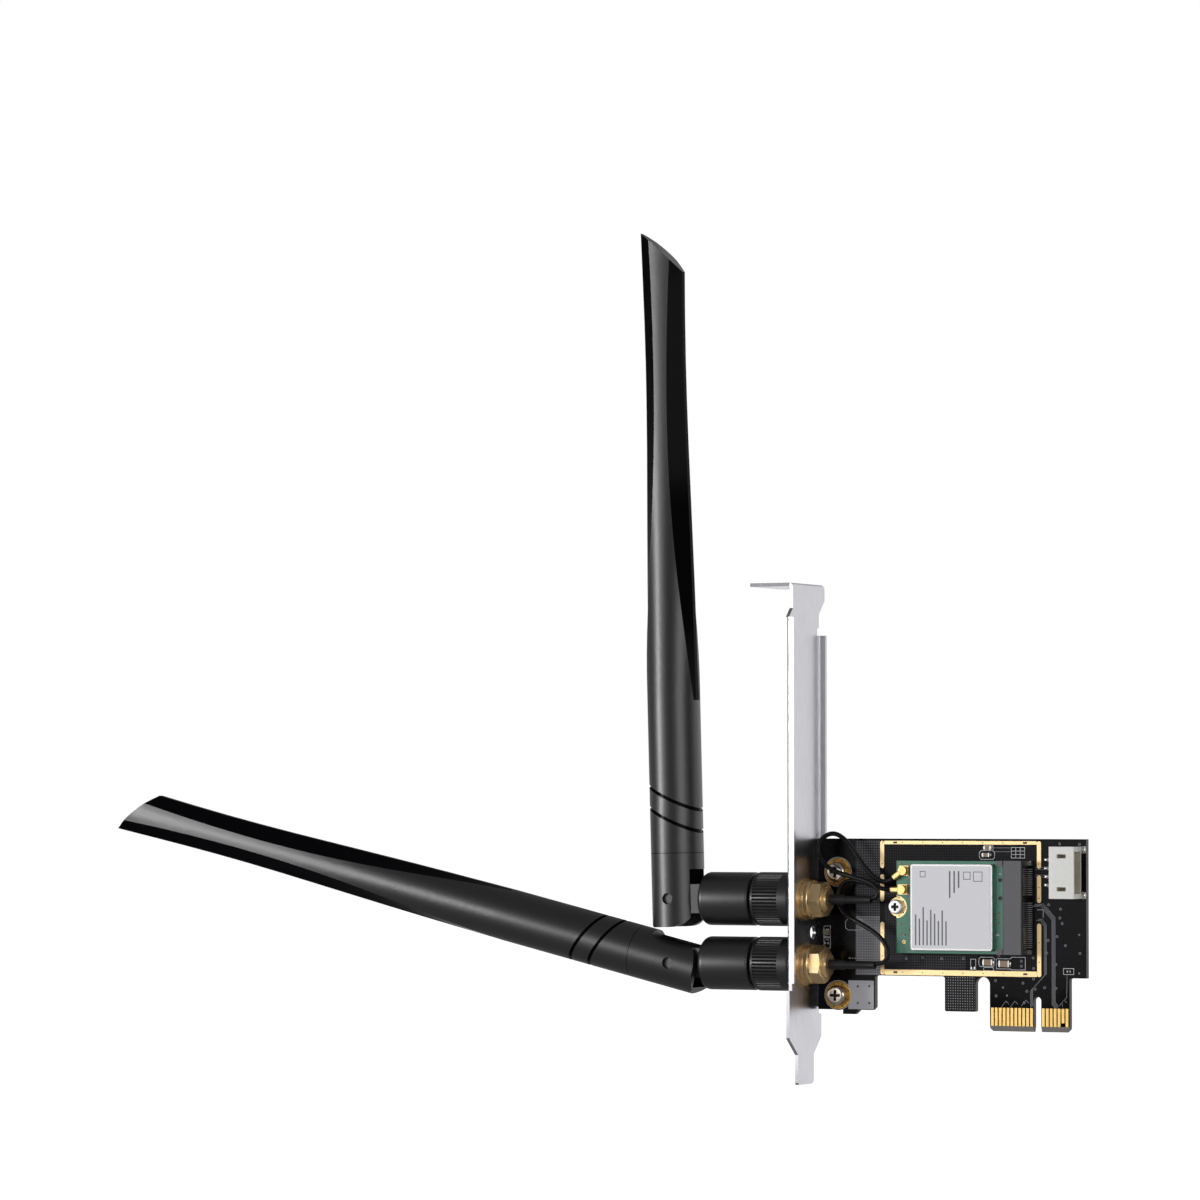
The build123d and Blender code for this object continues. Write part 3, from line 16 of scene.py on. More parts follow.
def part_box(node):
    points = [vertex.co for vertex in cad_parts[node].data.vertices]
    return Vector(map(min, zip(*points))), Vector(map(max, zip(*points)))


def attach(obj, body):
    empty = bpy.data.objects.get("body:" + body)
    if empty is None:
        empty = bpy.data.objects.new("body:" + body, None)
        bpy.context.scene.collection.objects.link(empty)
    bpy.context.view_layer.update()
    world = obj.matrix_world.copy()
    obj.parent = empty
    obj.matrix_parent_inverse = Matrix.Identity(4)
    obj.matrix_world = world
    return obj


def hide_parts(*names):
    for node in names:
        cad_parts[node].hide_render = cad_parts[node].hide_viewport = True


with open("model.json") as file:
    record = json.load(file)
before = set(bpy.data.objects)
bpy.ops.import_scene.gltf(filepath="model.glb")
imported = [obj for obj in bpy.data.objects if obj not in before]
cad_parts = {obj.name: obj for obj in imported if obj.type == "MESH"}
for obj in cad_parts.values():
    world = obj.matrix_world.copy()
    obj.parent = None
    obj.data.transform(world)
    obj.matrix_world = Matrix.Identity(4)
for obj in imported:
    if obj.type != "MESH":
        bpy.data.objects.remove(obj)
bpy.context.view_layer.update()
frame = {"nodes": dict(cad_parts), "record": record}
nodes = frame["nodes"]
MM = 0.001
print("parts loaded:", len(nodes))

# %% [markdown]
# The camera stands where the photographer's did: level with the bracket's middle, about 1.3 m away
# with a long lens, and turned so that the card's far end comes forward. A long lens keeps parallel
# edges nearly parallel, as they are in the picture.

# %% Place the camera
PICTURE_SIZE = 1200
VIEW_TURN = 26.752
VIEW_TILT = -1.763
VIEW_DISTANCE = 1290.0
LENS_IN_PIXELS = 5332.3
LENS_CENTRE = (603.8, 640.5)
AIM_ALONG = -50.438
AIM_HEIGHT = 93.447


def camera_axes(turn, tilt):
    """The camera's right, up and backward directions."""
    right = Vector((math.cos(turn), math.sin(turn), 0))
    back = Vector((math.sin(turn) * math.cos(tilt), -math.cos(turn) * math.cos(tilt), math.sin(tilt)))
    return right, back.cross(right), back


right, up, back = camera_axes(math.radians(VIEW_TURN), math.radians(VIEW_TILT))
aim = Vector((AIM_ALONG * right.x, AIM_ALONG * right.y, AIM_HEIGHT))
camera_data = bpy.data.cameras.new("camera")
camera_data.sensor_width = 36
camera_data.lens = 36 * LENS_IN_PIXELS / PICTURE_SIZE
camera_data.shift_x = (PICTURE_SIZE / 2 - LENS_CENTRE[0]) / PICTURE_SIZE
camera_data.shift_y = (LENS_CENTRE[1] - PICTURE_SIZE / 2) / PICTURE_SIZE
camera_data.clip_start = 0.01
camera_data.clip_end = 50
camera = bpy.data.objects.new("camera", camera_data)
bpy.context.scene.collection.objects.link(camera)
turn = Matrix((right, up, back)).transposed().to_4x4()
camera.matrix_world = Matrix.Translation((aim + VIEW_DISTANCE * back) * MM) @ turn
bpy.context.scene.camera = camera
bpy.context.scene.view_settings.view_transform = "Standard"
print("camera height in mm:", round(camera.location.z / MM, 1))

# %% [markdown]
# Colours are written as a paint shop writes them, in sRGB hex, and Blender's shaders want linear
# light, so one function turns them. A second small function adds a shader node with its settings
# and its links, which keeps each finish down to the few lines that make it different.

# %% Helpers for finishes
MIX_FIRST, MIX_SECOND, MIX_RESULT = 6, 7, 2     # the Mix node's sockets when it mixes colours


def colour(hexcode):
    """An sRGB hex colour as linear red, green, blue and alpha."""
    parts = [int(hexcode[i:i + 2], 16) / 255 for i in (1, 3, 5)]
    return [c / 12.92 if c < 0.04045 else ((c + 0.055) / 1.055) ** 2.4 for c in parts] + [1.0]


def add_node(tree, kind, settings=None, **inputs):
    """A shader node with its settings, its input values and its links from other sockets."""
    node = tree.nodes.new(kind)
    for name, value in (settings or {}).items():
        setattr(node, name, value)
    for name, value in inputs.items():
        key = int(name[1:]) if name[1:].isdigit() else name.replace("_", " ")
        socket = node.inputs[key]
        if isinstance(value, bpy.types.NodeSocket):
            tree.links.new(value, socket)
        else:
            socket.default_value = value
    return node


def new_finish(name, **shader_values):
    """A material with its shader's plain numbers and colours set on the shader itself."""
    finish = bpy.data.materials.new(name)
    finish.use_nodes = True
    tree = finish.node_tree
    shader = tree.nodes["Principled BSDF"]
    for key, value in shader_values.items():
        shader.inputs[key.replace("_", " ")].default_value = value
    place = add_node(tree, "ShaderNodeTexCoord").outputs["Object"]
    return finish, tree, shader, place


def grain(tree, place, size_mm, detail=2.0):
    """Fine noise whose grains are about the given size."""
    scale = 1 / (size_mm * MM)
    return add_node(tree, "ShaderNodeTexNoise", None, Vector=place, Scale=scale, Detail=detail)


def spread(tree, value, low, high):
    """A value from 0 to 1 stretched to run from low to high."""
    node = add_node(tree, "ShaderNodeMapRange", None, Value=value)
    node.inputs["To Min"].default_value = low
    node.inputs["To Max"].default_value = high
    return node.outputs["Result"]


def rise(tree, value, start, end):
    """0 up to a start, 1 from an end on, and an even ramp between them."""
    ramp = add_node(tree, "ShaderNodeMapRange", None, Value=value)
    ramp.inputs["From Min"].default_value = start
    ramp.inputs["From Max"].default_value = end
    return ramp.outputs["Result"]


def calculate(tree, operation, first, second):
    """One step of arithmetic on two values or sockets."""
    return add_node(tree, "ShaderNodeMath", {"operation": operation}, _0=first, _1=second).outputs[0]


def raise_surface(tree, shader, height, depth_mm, strength):
    """Bump from a height between 0 and 1, with its real depth."""
    depth = depth_mm * MM
    bump = add_node(tree, "ShaderNodeBump", None, Height=height, Distance=depth, Strength=strength)
    tree.links.new(bump.outputs["Normal"], shader.inputs["Normal"])


def two_tones(tree, factor, first, second):
    """A colour between two others."""
    mix = add_node(tree, "ShaderNodeMix", {"data_type": "RGBA"})
    tree.links.new(factor, mix.inputs["Factor"])
    mix.inputs[MIX_FIRST].default_value = colour(first)
    mix.inputs[MIX_SECOND].default_value = colour(second)
    return mix.outputs[MIX_RESULT]


print("mid grey in linear light:", round(colour("#808080")[0], 3))

# %% [markdown]
# The antennas are moulded in black ABS from a spark-eroded mould. That leaves a fine grit, which
# spreads every highlight into a soft grey band with a slight sparkle. The blade's flats and the
# ring grooves come from polished faces of the mould, so they stay glossy and nearly black.

# %% Moulded black ABS
ABS_GRIT = 0.22     # real grit is some ten times finer; this is as coarse as it needs to show
ABS_HAZE = 6.0


def make_matte_abs():
    finish, tree, shader, place = new_finish("spark_eroded_black_abs", IOR=1.5, Specular_IOR_Level=0.8)
    grit = grain(tree, place, ABS_GRIT, 3.0).outputs["Fac"]
    tree.links.new(two_tones(tree, grit, "#08080a", "#1c1c20"), shader.inputs["Base Color"])
    tree.links.new(spread(tree, grit, 0.3, 0.46), shader.inputs["Roughness"])
    raise_surface(tree, shader, grit, 0.02, 0.6)
    return finish


def make_polished_abs():
    finish, tree, shader, place = new_finish("polished_black_abs", IOR=1.5, Specular_IOR_Level=0.02)
    haze = grain(tree, place, ABS_HAZE).outputs["Fac"]
    tree.links.new(two_tones(tree, haze, "#060608", "#0b0b0e"), shader.inputs["Base Color"])
    tree.links.new(spread(tree, haze, 0.12, 0.22), shader.inputs["Roughness"])
    return finish


matte_abs = make_matte_abs()            # a soft grey band of light with a slight sparkle
polished_abs = make_polished_abs()      # nearly black, whatever it faces
print("black plastics:", matte_abs.name, polished_abs.name)

# %% [markdown]
# The jacks, nuts and washers are turned from brass and gold plated. Gold's colour lives in its
# reflections, so it is metallic with a warm base. The tool leaves fine marks, drawn here as a faint
# ripple, and the plating's thickness wanders a little, which shifts the colour in soft clouds.

# %% Gold plate
GOLD_CLOUD = 1.6
TOOL_MARKS = 0.5


def make_gold(name, bright, deep, rough_low, rough_high, metal=1.0):
    finish, tree, shader, place = new_finish(name, Metallic=metal)
    cloud = grain(tree, place, GOLD_CLOUD, 3.0).outputs["Fac"]
    tree.links.new(two_tones(tree, cloud, deep, bright), shader.inputs["Base Color"])
    tree.links.new(spread(tree, cloud, rough_low, rough_high), shader.inputs["Roughness"])
    raise_surface(tree, shader, grain(tree, place, TOOL_MARKS).outputs["Fac"], 0.02, 0.4)
    return finish


# turned and polished before plating: bright, with a warm white glint on each facet
gold_brass = make_gold("gold_plated_brass", "#ffe8c0", "#f4ca80", 0.24, 0.34, 0.9)
# plated straight on the board's copper: paler and a little dull
gold_print = make_gold("immersion_gold_on_copper", "#f7ddb0", "#ecc98c", 0.34, 0.46)
# rubbed by the screws' heads: deeper and browner
pad_gold = make_gold("worn_gold_on_copper", "#d8ac62", "#b3853c", 0.3, 0.42)
# hard gold for contacts that slide: a strong, even yellow
edge_gold = make_gold("hard_gold_on_copper", "#f6d48c", "#dfae55", 0.28, 0.4)
# pressed from thin sheet: small bright spots with blurred edges
plug_gold = make_gold("gold_plated_pressing", "#f8dda2", "#e2b76a", 0.26, 0.4)
# bare brass, drawn to a tube: darker, with no plating
pipe_brass = make_gold("drawn_brass_tube", "#c79a4a", "#a97c32", 0.25, 0.35)
golds = (gold_brass, gold_print, pad_gold, edge_gold, plug_gold, pipe_brass)
print("golds and brass:", ", ".join(finish.name for finish in golds))

# %% [markdown]
# The bracket is steel sheet, zinc plated and tumbled. It reflects in soft patches, so a large, slow
# noise changes its roughness and a fine stretched noise stands for the rolling marks that run along
# the strip. Screws, springs and solder are bright metals with the same recipe at other sizes.

# %% Plated and tinned metals


def make_plate(name, light, dark, rough_low, rough_high, patch_mm, mark_mm, stretch=1.0):
    finish, tree, shader, place = new_finish(name, Metallic=1.0)
    patches = grain(tree, place, patch_mm, 2.0).outputs["Fac"]
    mapped = add_node(tree, "ShaderNodeMapping", None, Vector=place, Scale=(1.0, 1.0, 1.0 / stretch))
    marks = grain(tree, mapped.outputs["Vector"], mark_mm, 3.0).outputs["Fac"]
    tree.links.new(two_tones(tree, marks, dark, light), shader.inputs["Base Color"])
    tree.links.new(spread(tree, patches, rough_low, rough_high), shader.inputs["Roughness"])
    raise_surface(tree, shader, marks, 0.01, 0.35)
    return finish


# a wide soft gloss that drifts over the sheet, with faint lines along the strip
bracket_zinc = make_plate("zinc_plated_steel_sheet", "#d4d3d7", "#bcbbc0", 0.22, 0.38, 9.0, 0.4, 12.0)
# where the sheet was sheared the plating is thin: grey and rough
sheared_edge = make_plate("sheared_steel_edge", "#a8a7ab", "#77767a", 0.5, 0.62, 1.0, 0.2)
# nickel is warmer than zinc and takes a clear gloss
screw_nickel = make_plate("nickel_plated_screw", "#d9d0c4", "#b3a898", 0.14, 0.26, 1.5, 0.3)
# white zinc looks nearly like paint
white_zinc = make_plate("white_zinc_screw", "#f4f3f1", "#e2e0dc", 0.4, 0.52, 1.0, 0.3)
# tin fresh from the iron, as on solder: bright with soft edges
bright_tin = make_plate("bright_tin", "#e4e3e0", "#c9c8c6", 0.22, 0.4, 1.0, 0.25)
# tin plated on the socket's springs: a duller grey, darkened further as painted shade, since the springs
# stand in the socket's shade
shaded_dull_tin = make_plate("dull_tin_spring", "#bcbcbe", "#8c8c90", 0.35, 0.5, 0.5, 0.2)
# the module's can: even and smooth, with slight drawing lines
can_tin = make_plate("tinned_can_sheet", "#d6d6d6", "#bdbdbd", 0.25, 0.38, 5.0, 0.3, 6.0)
plates = (bracket_zinc, sheared_edge, screw_nickel, white_zinc, bright_tin, shaded_dull_tin, can_tin)
print("plated metals:", ", ".join(finish.name for finish in plates))

# %% [markdown]
# A circuit board is glass cloth in epoxy under a coat of solder mask. Bare areas are nearly black,
# and areas with copper behind them turn grey and show the copper's cross-hatch as rows of tiny dots.
# The zones are boxes in X and Z, each a product of soft steps, mixed over the black one by one. Those in
# the bracket's cast shadow are painted lighter, as painted light.

# %% Solder mask over hatched copper
HATCH_PITCH = 0.62      # read from the picture
DOT_RAMP = (0.15, 0.55)
ZONE_EDGE = 0.06
INK_GRAIN, GLOSS_PATCH = 0.3, 3.0
BOARD_ZONES = (
    # left, right, foot, top, gap colour, dot colour
    (59.4, 70.6, 12.9, 45.3, "#0d0d10", "#1c1c20"),
    # the three zones from X 9.4 to 17.7 lie in the bracket's cast shadow: their copper grey is painted
    # lighter, as painted light that makes up for it
    (11.4, 17.7, 27.0, 45.2, "#3c3c40", "#808086"),
    (11.4, 17.7, 12.9, 27.0, "#808086", "#c2c2c8"),
    (9.4, 16.1, 4.6, 11.5, "#c4c4cb", "#d2d2d8"),
    (19.0, 58.3, 14.2, 44.2, "#0f0f12", "#26262a"),
    (34.9, 42.3, 4.7, 12.8, "#232325", "#a0a0a2"),
    (19.0, 40.0, 14.4, 17.9, "#252529", "#515156"),
    (19.0, 23.4, 18.0, 34.0, "#222226", "#4c4c51"),
)


def step_up(tree, value, edge):
    """0 below an edge and 1 above it, over a short ramp."""
    return rise(tree, value, (edge - ZONE_EDGE) * MM, (edge + ZONE_EDGE) * MM)


def make_board_mask():
    finish, tree, shader, place = new_finish("black_solder_mask", IOR=1.5, Specular_IOR_Level=0.09)
    axes = add_node(tree, "ShaderNodeSeparateXYZ", None, Vector=place)
    along, height = axes.outputs["X"], axes.outputs["Z"]
    waves = []
    for axis in (along, height):
        phase = calculate(tree, "MULTIPLY", axis, math.tau / (HATCH_PITCH * MM))
        waves.append(spread(tree, calculate(tree, "SINE", phase, 0.0), 0.0, 1.0))
    dots = rise(tree, calculate(tree, "MULTIPLY", waves[0], waves[1]), *DOT_RAMP)
    base = two_tones(tree, grain(tree, place, INK_GRAIN).outputs["Fac"], "#050507", "#0c0c0f")
    for left, right_side, foot, top, gap, dot in BOARD_ZONES:
        past_left, past_right = step_up(tree, along, left), step_up(tree, along, right_side)
        inside = calculate(tree, "SUBTRACT", past_left, past_right)
        level = calculate(tree, "SUBTRACT", step_up(tree, height, foot), step_up(tree, height, top))
        mix = add_node(tree, "ShaderNodeMix", {"data_type": "RGBA"})
        tree.links.new(calculate(tree, "MULTIPLY", inside, level), mix.inputs["Factor"])
        tree.links.new(base, mix.inputs[MIX_FIRST])
        tree.links.new(two_tones(tree, dots, gap, dot), mix.inputs[MIX_SECOND])
        base = mix.outputs[MIX_RESULT]
    tree.links.new(base, shader.inputs["Base Color"])
    gloss = grain(tree, place, GLOSS_PATCH).outputs["Fac"]
    tree.links.new(spread(tree, gloss, 0.16, 0.26), shader.inputs["Roughness"])
    raise_surface(tree, shader, dots, 0.02, 0.3)
    return finish


board_mask = make_board_mask()
print("zones of copper under the mask:", len(BOARD_ZONES))

# %% [markdown]
# The plastics and coats that are left share one recipe: two close tones mixed by a noise of the
# right size, a roughness that wanders, and a little relief. Paper is fibrous, nylon is waxy and a
# little see-through, ceramic is chalky and a lead's jacket is smooth and slightly greasy.

# %% Plastics, paper, ceramic and resin


def make_coat(name, light, dark, rough_low, rough_high, grain_mm, relief_mm=0.01, **extra):
    finish, tree, shader, place = new_finish(name, **extra)
    cloud = grain(tree, place, grain_mm, 3.0).outputs["Fac"]
    tree.links.new(two_tones(tree, cloud, dark, light), shader.inputs["Base Color"])
    tree.links.new(spread(tree, cloud, rough_low, rough_high), shader.inputs["Roughness"])
    raise_surface(tree, shader, cloud, relief_mm, 0.4)
    return finish


# green mask with a clear sheen over it
module_green = make_coat("green_solder_mask", "#1b7f5f", "#0f6650", 0.25, 0.36, 1.2, Coat_Weight=0.3)
# smooth paper: white and without a highlight
label_paper = make_coat("bare_label_paper", "#ebebef", "#e2e2e7", 0.5, 0.62, 0.4)
# nylon filled with glass fibre: mottled grey, and black where the socket shades itself
socket_plastic = make_coat("glass_filled_nylon", "#66666b", "#505055", 0.42, 0.55, 0.35)
socket_back = make_coat("shaded_nylon_back", "#131315", "#0a0a0c", 0.4, 0.55, 0.35)
# unfilled nylon: light enters a little way, so it glows softly; its hollow gets a darker cream as
# painted shade
header_nylon = make_coat(
    "natural_nylon", "#faf8f4", "#efece6", 0.38, 0.5, 0.8, Subsurface_Weight=0.1)
header_hollow_shade = make_coat("shaded_nylon", "#c9bfae", "#b7ab98", 0.45, 0.6, 0.8)
# fired ceramic is chalky, and a resistor's glaze is black and glassy
tan_ceramic = make_coat("fired_ceramic", "#a08972", "#8a7460", 0.45, 0.6, 0.3)
black_glaze = make_coat("black_resistor_glaze", "#18181a", "#0c0c0e", 0.2, 0.35, 0.5)
# the lamp's resin is cloudy and lets some light through
lamp_resin = make_coat(
    "milky_resin", "#8f8775", "#746c5c", 0.2, 0.3, 0.6, Transmission_Weight=0.2)
# machined fluoropolymer: waxy white
white_ptfe = make_coat("white_ptfe", "#f2f1ec", "#e2e1dc", 0.4, 0.5, 0.5)
# an extruded jacket shows a dim line of light along it, and shrunk tube is lumpy and duller
lead_jacket = make_coat(
    "extruded_black_jacket", "#121214", "#08080a", 0.35, 0.48, 0.5, Specular_IOR_Level=0.25)
shrink_tube = make_coat("shrunk_black_tube", "#141416", "#08080a", 0.4, 0.55, 1.4, 0.12)
# thick white ink, and copper that shows grey through the mask
white_ink = make_coat("white_epoxy_ink", "#d4d4d6", "#b4b4b8", 0.5, 0.6, 0.2)
copper_under_mask = make_coat("trace_under_mask", "#8a8a8f", "#66666b", 0.3, 0.4, 0.3)
# the board's milled rim shows its glass cloth, dry and grey
board_edge = make_coat("milled_glass_epoxy", "#8a8883", "#605e5a", 0.6, 0.75, 0.3)
# holes and recesses are in their own shade, and the label's ink is a plain grey
dark_hole = make_coat("plated_hole", "#2a1c0c", "#150e06", 0.4, 0.6, 0.3)
dark_print = make_coat("grey_label_ink", "#6b6b70", "#55555a", 0.5, 0.6, 0.3)
print("finishes in all:", len(bpy.data.materials))

# %% [markdown]
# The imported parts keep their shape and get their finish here. Each one names the material that it is
# made of, and a table gives the finish for that name. A few parts of the same material look unlike
# the rest, such as the contacts that are plated thicker, so a second table names those one by one.

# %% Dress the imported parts
finishes = {
    "plated_steel": bracket_zinc,
    "solder_mask": board_mask,
    "gold_plate": gold_print,
    "gold_brass": gold_brass,
    "nickel_screw": screw_nickel,
    "module_mask": module_green,
    "can_steel": can_tin,
    "label_paper": label_paper,
    "socket_plastic": socket_plastic,
    "tinned_copper": bright_tin,
    "header_plastic": header_nylon,
    "ceramic": tan_ceramic,
    "resistor_black": black_glaze,
    "lamp_resin": lamp_resin,
    "insulator_white": white_ptfe,
    "lead_jacket": lead_jacket,
    "shrink_tube": shrink_tube,
    "antenna_plastic": matte_abs,
    "radiator_brass": pipe_brass,
}
special_finish = {
    "edge_contacts": edge_gold,
    "screw_pads": pad_gold,
    "coax_plugs": plug_gold,
    "coax_receptacles": plug_gold,
    "module_screw": white_zinc,
    # the springs take the darker tin of painted shade
    "socket_contacts": shaded_dull_tin,
}
slot_of = {entry["node"]: entry["material_slot"] for entry in frame["record"]["subparts"]}
bodies = frame["record"]["behaviour"]["bodies"]
body_of = {node: body for body, names in bodies.items() for node in names}
for name, part in nodes.items():
    part.data.materials.clear()
    part.data.materials.append(special_finish.get(name, finishes[slot_of[name]]))
print("parts dressed:", len(nodes))

# %% [markdown]
# A curved part arrives as small flat triangles, and would look cut like a gem. So each one that
# shows is copied, its doubles are merged, and its shading is smoothed wherever neighbouring faces
# meet at a small angle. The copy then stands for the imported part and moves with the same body.

# %% Helpers for pieces
SMOOTH_ANGLE = 32
MERGE_DISTANCE = 0.0005


def add_piece(name, mesh, body, finish):
    """A finished mesh as a piece of the object, riding on a body."""
    piece = bpy.data.objects.new(name, mesh)
    bpy.context.scene.collection.objects.link(piece)
    mesh.materials.append(finish)
    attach(piece, body)
    return piece


def shade_by_angle(shape):
    """Smooth shading across shallow edges and sharp shading across steep ones."""
    for face in shape.faces:
        face.smooth = True
    for edge in shape.edges:
        if len(edge.link_faces) == 2:
            edge.smooth = edge.calc_face_angle(0) < math.radians(SMOOTH_ANGLE)


def smooth_copy(node):
    """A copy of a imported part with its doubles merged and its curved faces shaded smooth."""
    shape = bmesh.new()
    shape.from_mesh(nodes[node].data)
    bmesh.ops.remove_doubles(shape, verts=shape.verts, dist=MERGE_DISTANCE * MM)
    shade_by_angle(shape)
    mesh = bpy.data.meshes.new(node + "_smooth")
    shape.to_mesh(mesh)
    shape.free()
    finish = nodes[node].data.materials[0]
    piece = add_piece(node + "_smooth", mesh, body_of[node], finish)
    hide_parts(node)
    return piece


print("smooth below, in degrees:", SMOOTH_ANGLE)

# %% [markdown]
# Only the parts with round or rolled surfaces need the smoothing, and the boxes stay as packed. The
# antennas come in pairs, so their parts are named once and made for both sides.

# %% Smooth the rounded parts
ROUND_PARTS = (
    "bracket", "main_board", "board_screws", "module_screw", "shield_can", "coax_plugs", "flat_washers",
    "lock_washers", "jack_nuts", "module_post", "header_housing", "module_socket",
)
SIDE_PARTS = (
    "jack", "shrink_sleeve", "coupling_nut", "plug_shell", "barrel", "hinge_pin", "fork", "blade",
)
smooth = {name: smooth_copy(name) for name in ROUND_PARTS}
for side in ("lower", "upper"):
    for part_name in SIDE_PARTS:
        smooth[side + "_" + part_name] = smooth_copy(side + "_" + part_name)
print("rounded parts smoothed:", len(smooth))

# %% [markdown]
# Some parts show two finishes: the board's edge is milled, the bracket's tab is sheared, and hollows
# and recesses lie in their own shade. They could be cut into separate pieces, but a short test on
# where a face lies and which way it looks picks its finish, and the shape stays one.

# %% Pick out edges, hollows and recesses
HEADER_LEFT, HEADER_FOOT, HEADER_TOP = 63.3, 31.6, 43.85
HEADER_FRONT = -4.9
HEADER_WALL = 0.5
HEADER_RIM = 1.0
SOCKET_RIGHT = 55.9
SCREW_PLACES = ((6.75, 7.9), (6.75, 37.55))
SCREW_RECESS = (1.33, -1.9)             # its reach from the screw's axis, and the head's top level
MODULE_SCREW_PLACE = (23.5, 29.35)
MODULE_SCREW_RECESS = (0.97, -4.2)


def second_finish(name, finish, test):
    """Gives the faces of a smoothed part that pass a test, on centre and normal, another finish."""
    mesh = smooth[name].data
    mesh.materials.append(finish)
    for face in mesh.polygons:
        if test(face.center / MM, face.normal):
            face.material_index = len(mesh.materials) - 1


def in_header(centre, normal):
    level = HEADER_FRONT + HEADER_WALL < centre.y < -HEADER_WALL
    inside = HEADER_FOOT + HEADER_RIM < centre.z < HEADER_TOP - HEADER_RIM
    return level and inside and centre.x > HEADER_LEFT + HEADER_WALL


def in_recess(places, reach, top):
    """A test for the faces of a cross recess: near a screw's axis and below the head's top."""
    def test(centre, normal):
        near = min(math.hypot(centre.x - x, centre.z - z) for x, z in places) < reach
        return near and centre.y > top
    return test


second_finish("bracket", sheared_edge, lambda centre, normal: centre.x < 0 and normal.y < -0.5)
second_finish("main_board", board_edge, lambda centre, normal: abs(normal.y) < 0.99)
# the header's inner faces take the darker cream of painted shade
second_finish("header_housing", header_hollow_shade, in_header)
second_finish("module_socket", socket_back, lambda centre, normal: centre.x > SOCKET_RIGHT)
second_finish("module_screw", dark_hole, in_recess((MODULE_SCREW_PLACE,), *MODULE_SCREW_RECESS))
second_finish("board_screws", dark_hole, in_recess(SCREW_PLACES, *SCREW_RECESS))
print("parts with a second finish:", sum(len(piece.data.materials) > 1 for piece in smooth.values()))

# %% [markdown]
# The blade starts round and grows flats that leave only a narrow round band in front and behind.
# A face belongs to a flat when it lies further from the blade's middle line than the band's edge
# does at that distance from the hinge.

# %% Polish the blades' flats and grooves
ELBOW_PLACES = {"lower": (-32.8, -6.56, 15.45), "upper": (-32.8, -6.56, 31.0)}
BLADE_RISES = {"lower": 13.4, "upper": 88.5}
BAND_EDGES = ((48.0, 6.2), (73.0, 4.25), (97.0, 2.4), (121.0, 1.7), (145.0, 2.15), (168.0, 3.5))
GROOVE_STRETCH = (12.0, 32.0)
GROOVE_FLOOR = 6.36
FLAT_ANGLE = 4.0


def band_edge(along):
    """Half the round band's width at a distance from the hinge, on one smooth curve."""
    wide = 0.0
    for place, half in BAND_EDGES:
        others = [other for other, _ in BAND_EDGES if other != place]
        wide += half * math.prod((along - other) / (place - other) for other in others)
    return wide


def polished_face(side):
    tilt = math.radians(BLADE_RISES[side])
    heading = Vector((-math.cos(tilt), 0, math.sin(tilt)))
    across = Vector((math.sin(tilt), 0, math.cos(tilt)))

    def test(centre, normal):
        offset = centre - Vector(ELBOW_PLACES[side])
        along, beside = offset.dot(heading), offset.dot(across)
        if GROOVE_STRETCH[0] < along < GROOVE_STRETCH[1]:
            return math.hypot(beside, offset.y) < GROOVE_FLOOR
        at_tip = normal.dot(heading) > 0.5
        return along > BAND_EDGES[0][0] and not at_tip and abs(beside) > band_edge(along)
    return test


def crease_flats(name):
    """Hard edges round each polished face, so that no shading bleeds from the round band into it."""
    mesh = smooth[name].data
    shape = bmesh.new()
    shape.from_mesh(mesh)
    for edge in shape.edges:
        coats = {face.material_index for face in edge.link_faces}
        if coats == {1}:
            edge.smooth = edge.calc_face_angle(0) < math.radians(FLAT_ANGLE)
        elif len(coats) == 2:
            edge.smooth = False
    shape.to_mesh(mesh)
    shape.free()


for side in ("lower", "upper"):
    second_finish(side + "_blade", polished_abs, polished_face(side))
    crease_flats(side + "_blade")
print("two-finish parts:", sum(len(piece.data.materials) > 1 for piece in smooth.values()))

# %% [markdown]
# A fine dark line runs round each antenna where the cover meets the forked foot. It is a thin ring
# that stands barely proud. A cone with equal ends and no caps is a short tube, and solidify gives it
# a wall.

# %% Mark the cover's seam
SEAM_ALONG = 11.0
SEAM_RADIUS = 6.455
SEAM_WIDTH = 0.16
SEAM_WALL = 0.05
seam_black = make_coat("seam_shadow", "#050506", "#020203", 0.6, 0.7, 0.5, Specular_IOR_Level=0.1)
for side, (x, y, z) in ELBOW_PLACES.items():
    seam = bmesh.new()
    lean = Matrix.Rotation(math.radians(BLADE_RISES[side] - 90), 4, "Y")
    hinge = Matrix.Translation(Vector((x, y, z)) * MM)
    place = hinge @ lean @ Matrix.Translation((0, 0, SEAM_ALONG * MM))
    bmesh.ops.create_cone(
        seam, cap_ends=False, segments=64, radius1=SEAM_RADIUS * MM, radius2=SEAM_RADIUS * MM,
        depth=SEAM_WIDTH * MM, matrix=place)
    bmesh.ops.solidify(seam, geom=seam.faces[:], thickness=SEAM_WALL * MM)
    bmesh.ops.recalc_face_normals(seam, faces=seam.faces)
    mesh = bpy.data.meshes.new(side + "_cover_seam")
    seam.to_mesh(mesh)
    seam.free()
    add_piece(side + "_cover_seam", mesh, side + "_antenna", seam_black)
print("seam rings:", len(ELBOW_PLACES))

# %% [markdown]
# The two antenna leads are thin coax held between two connectors, so they take smooth bends only.
# Each follows one NURBS curve whose control points are the points of its route, from the jack's
# sleeve, over the card, to its plug on the module.

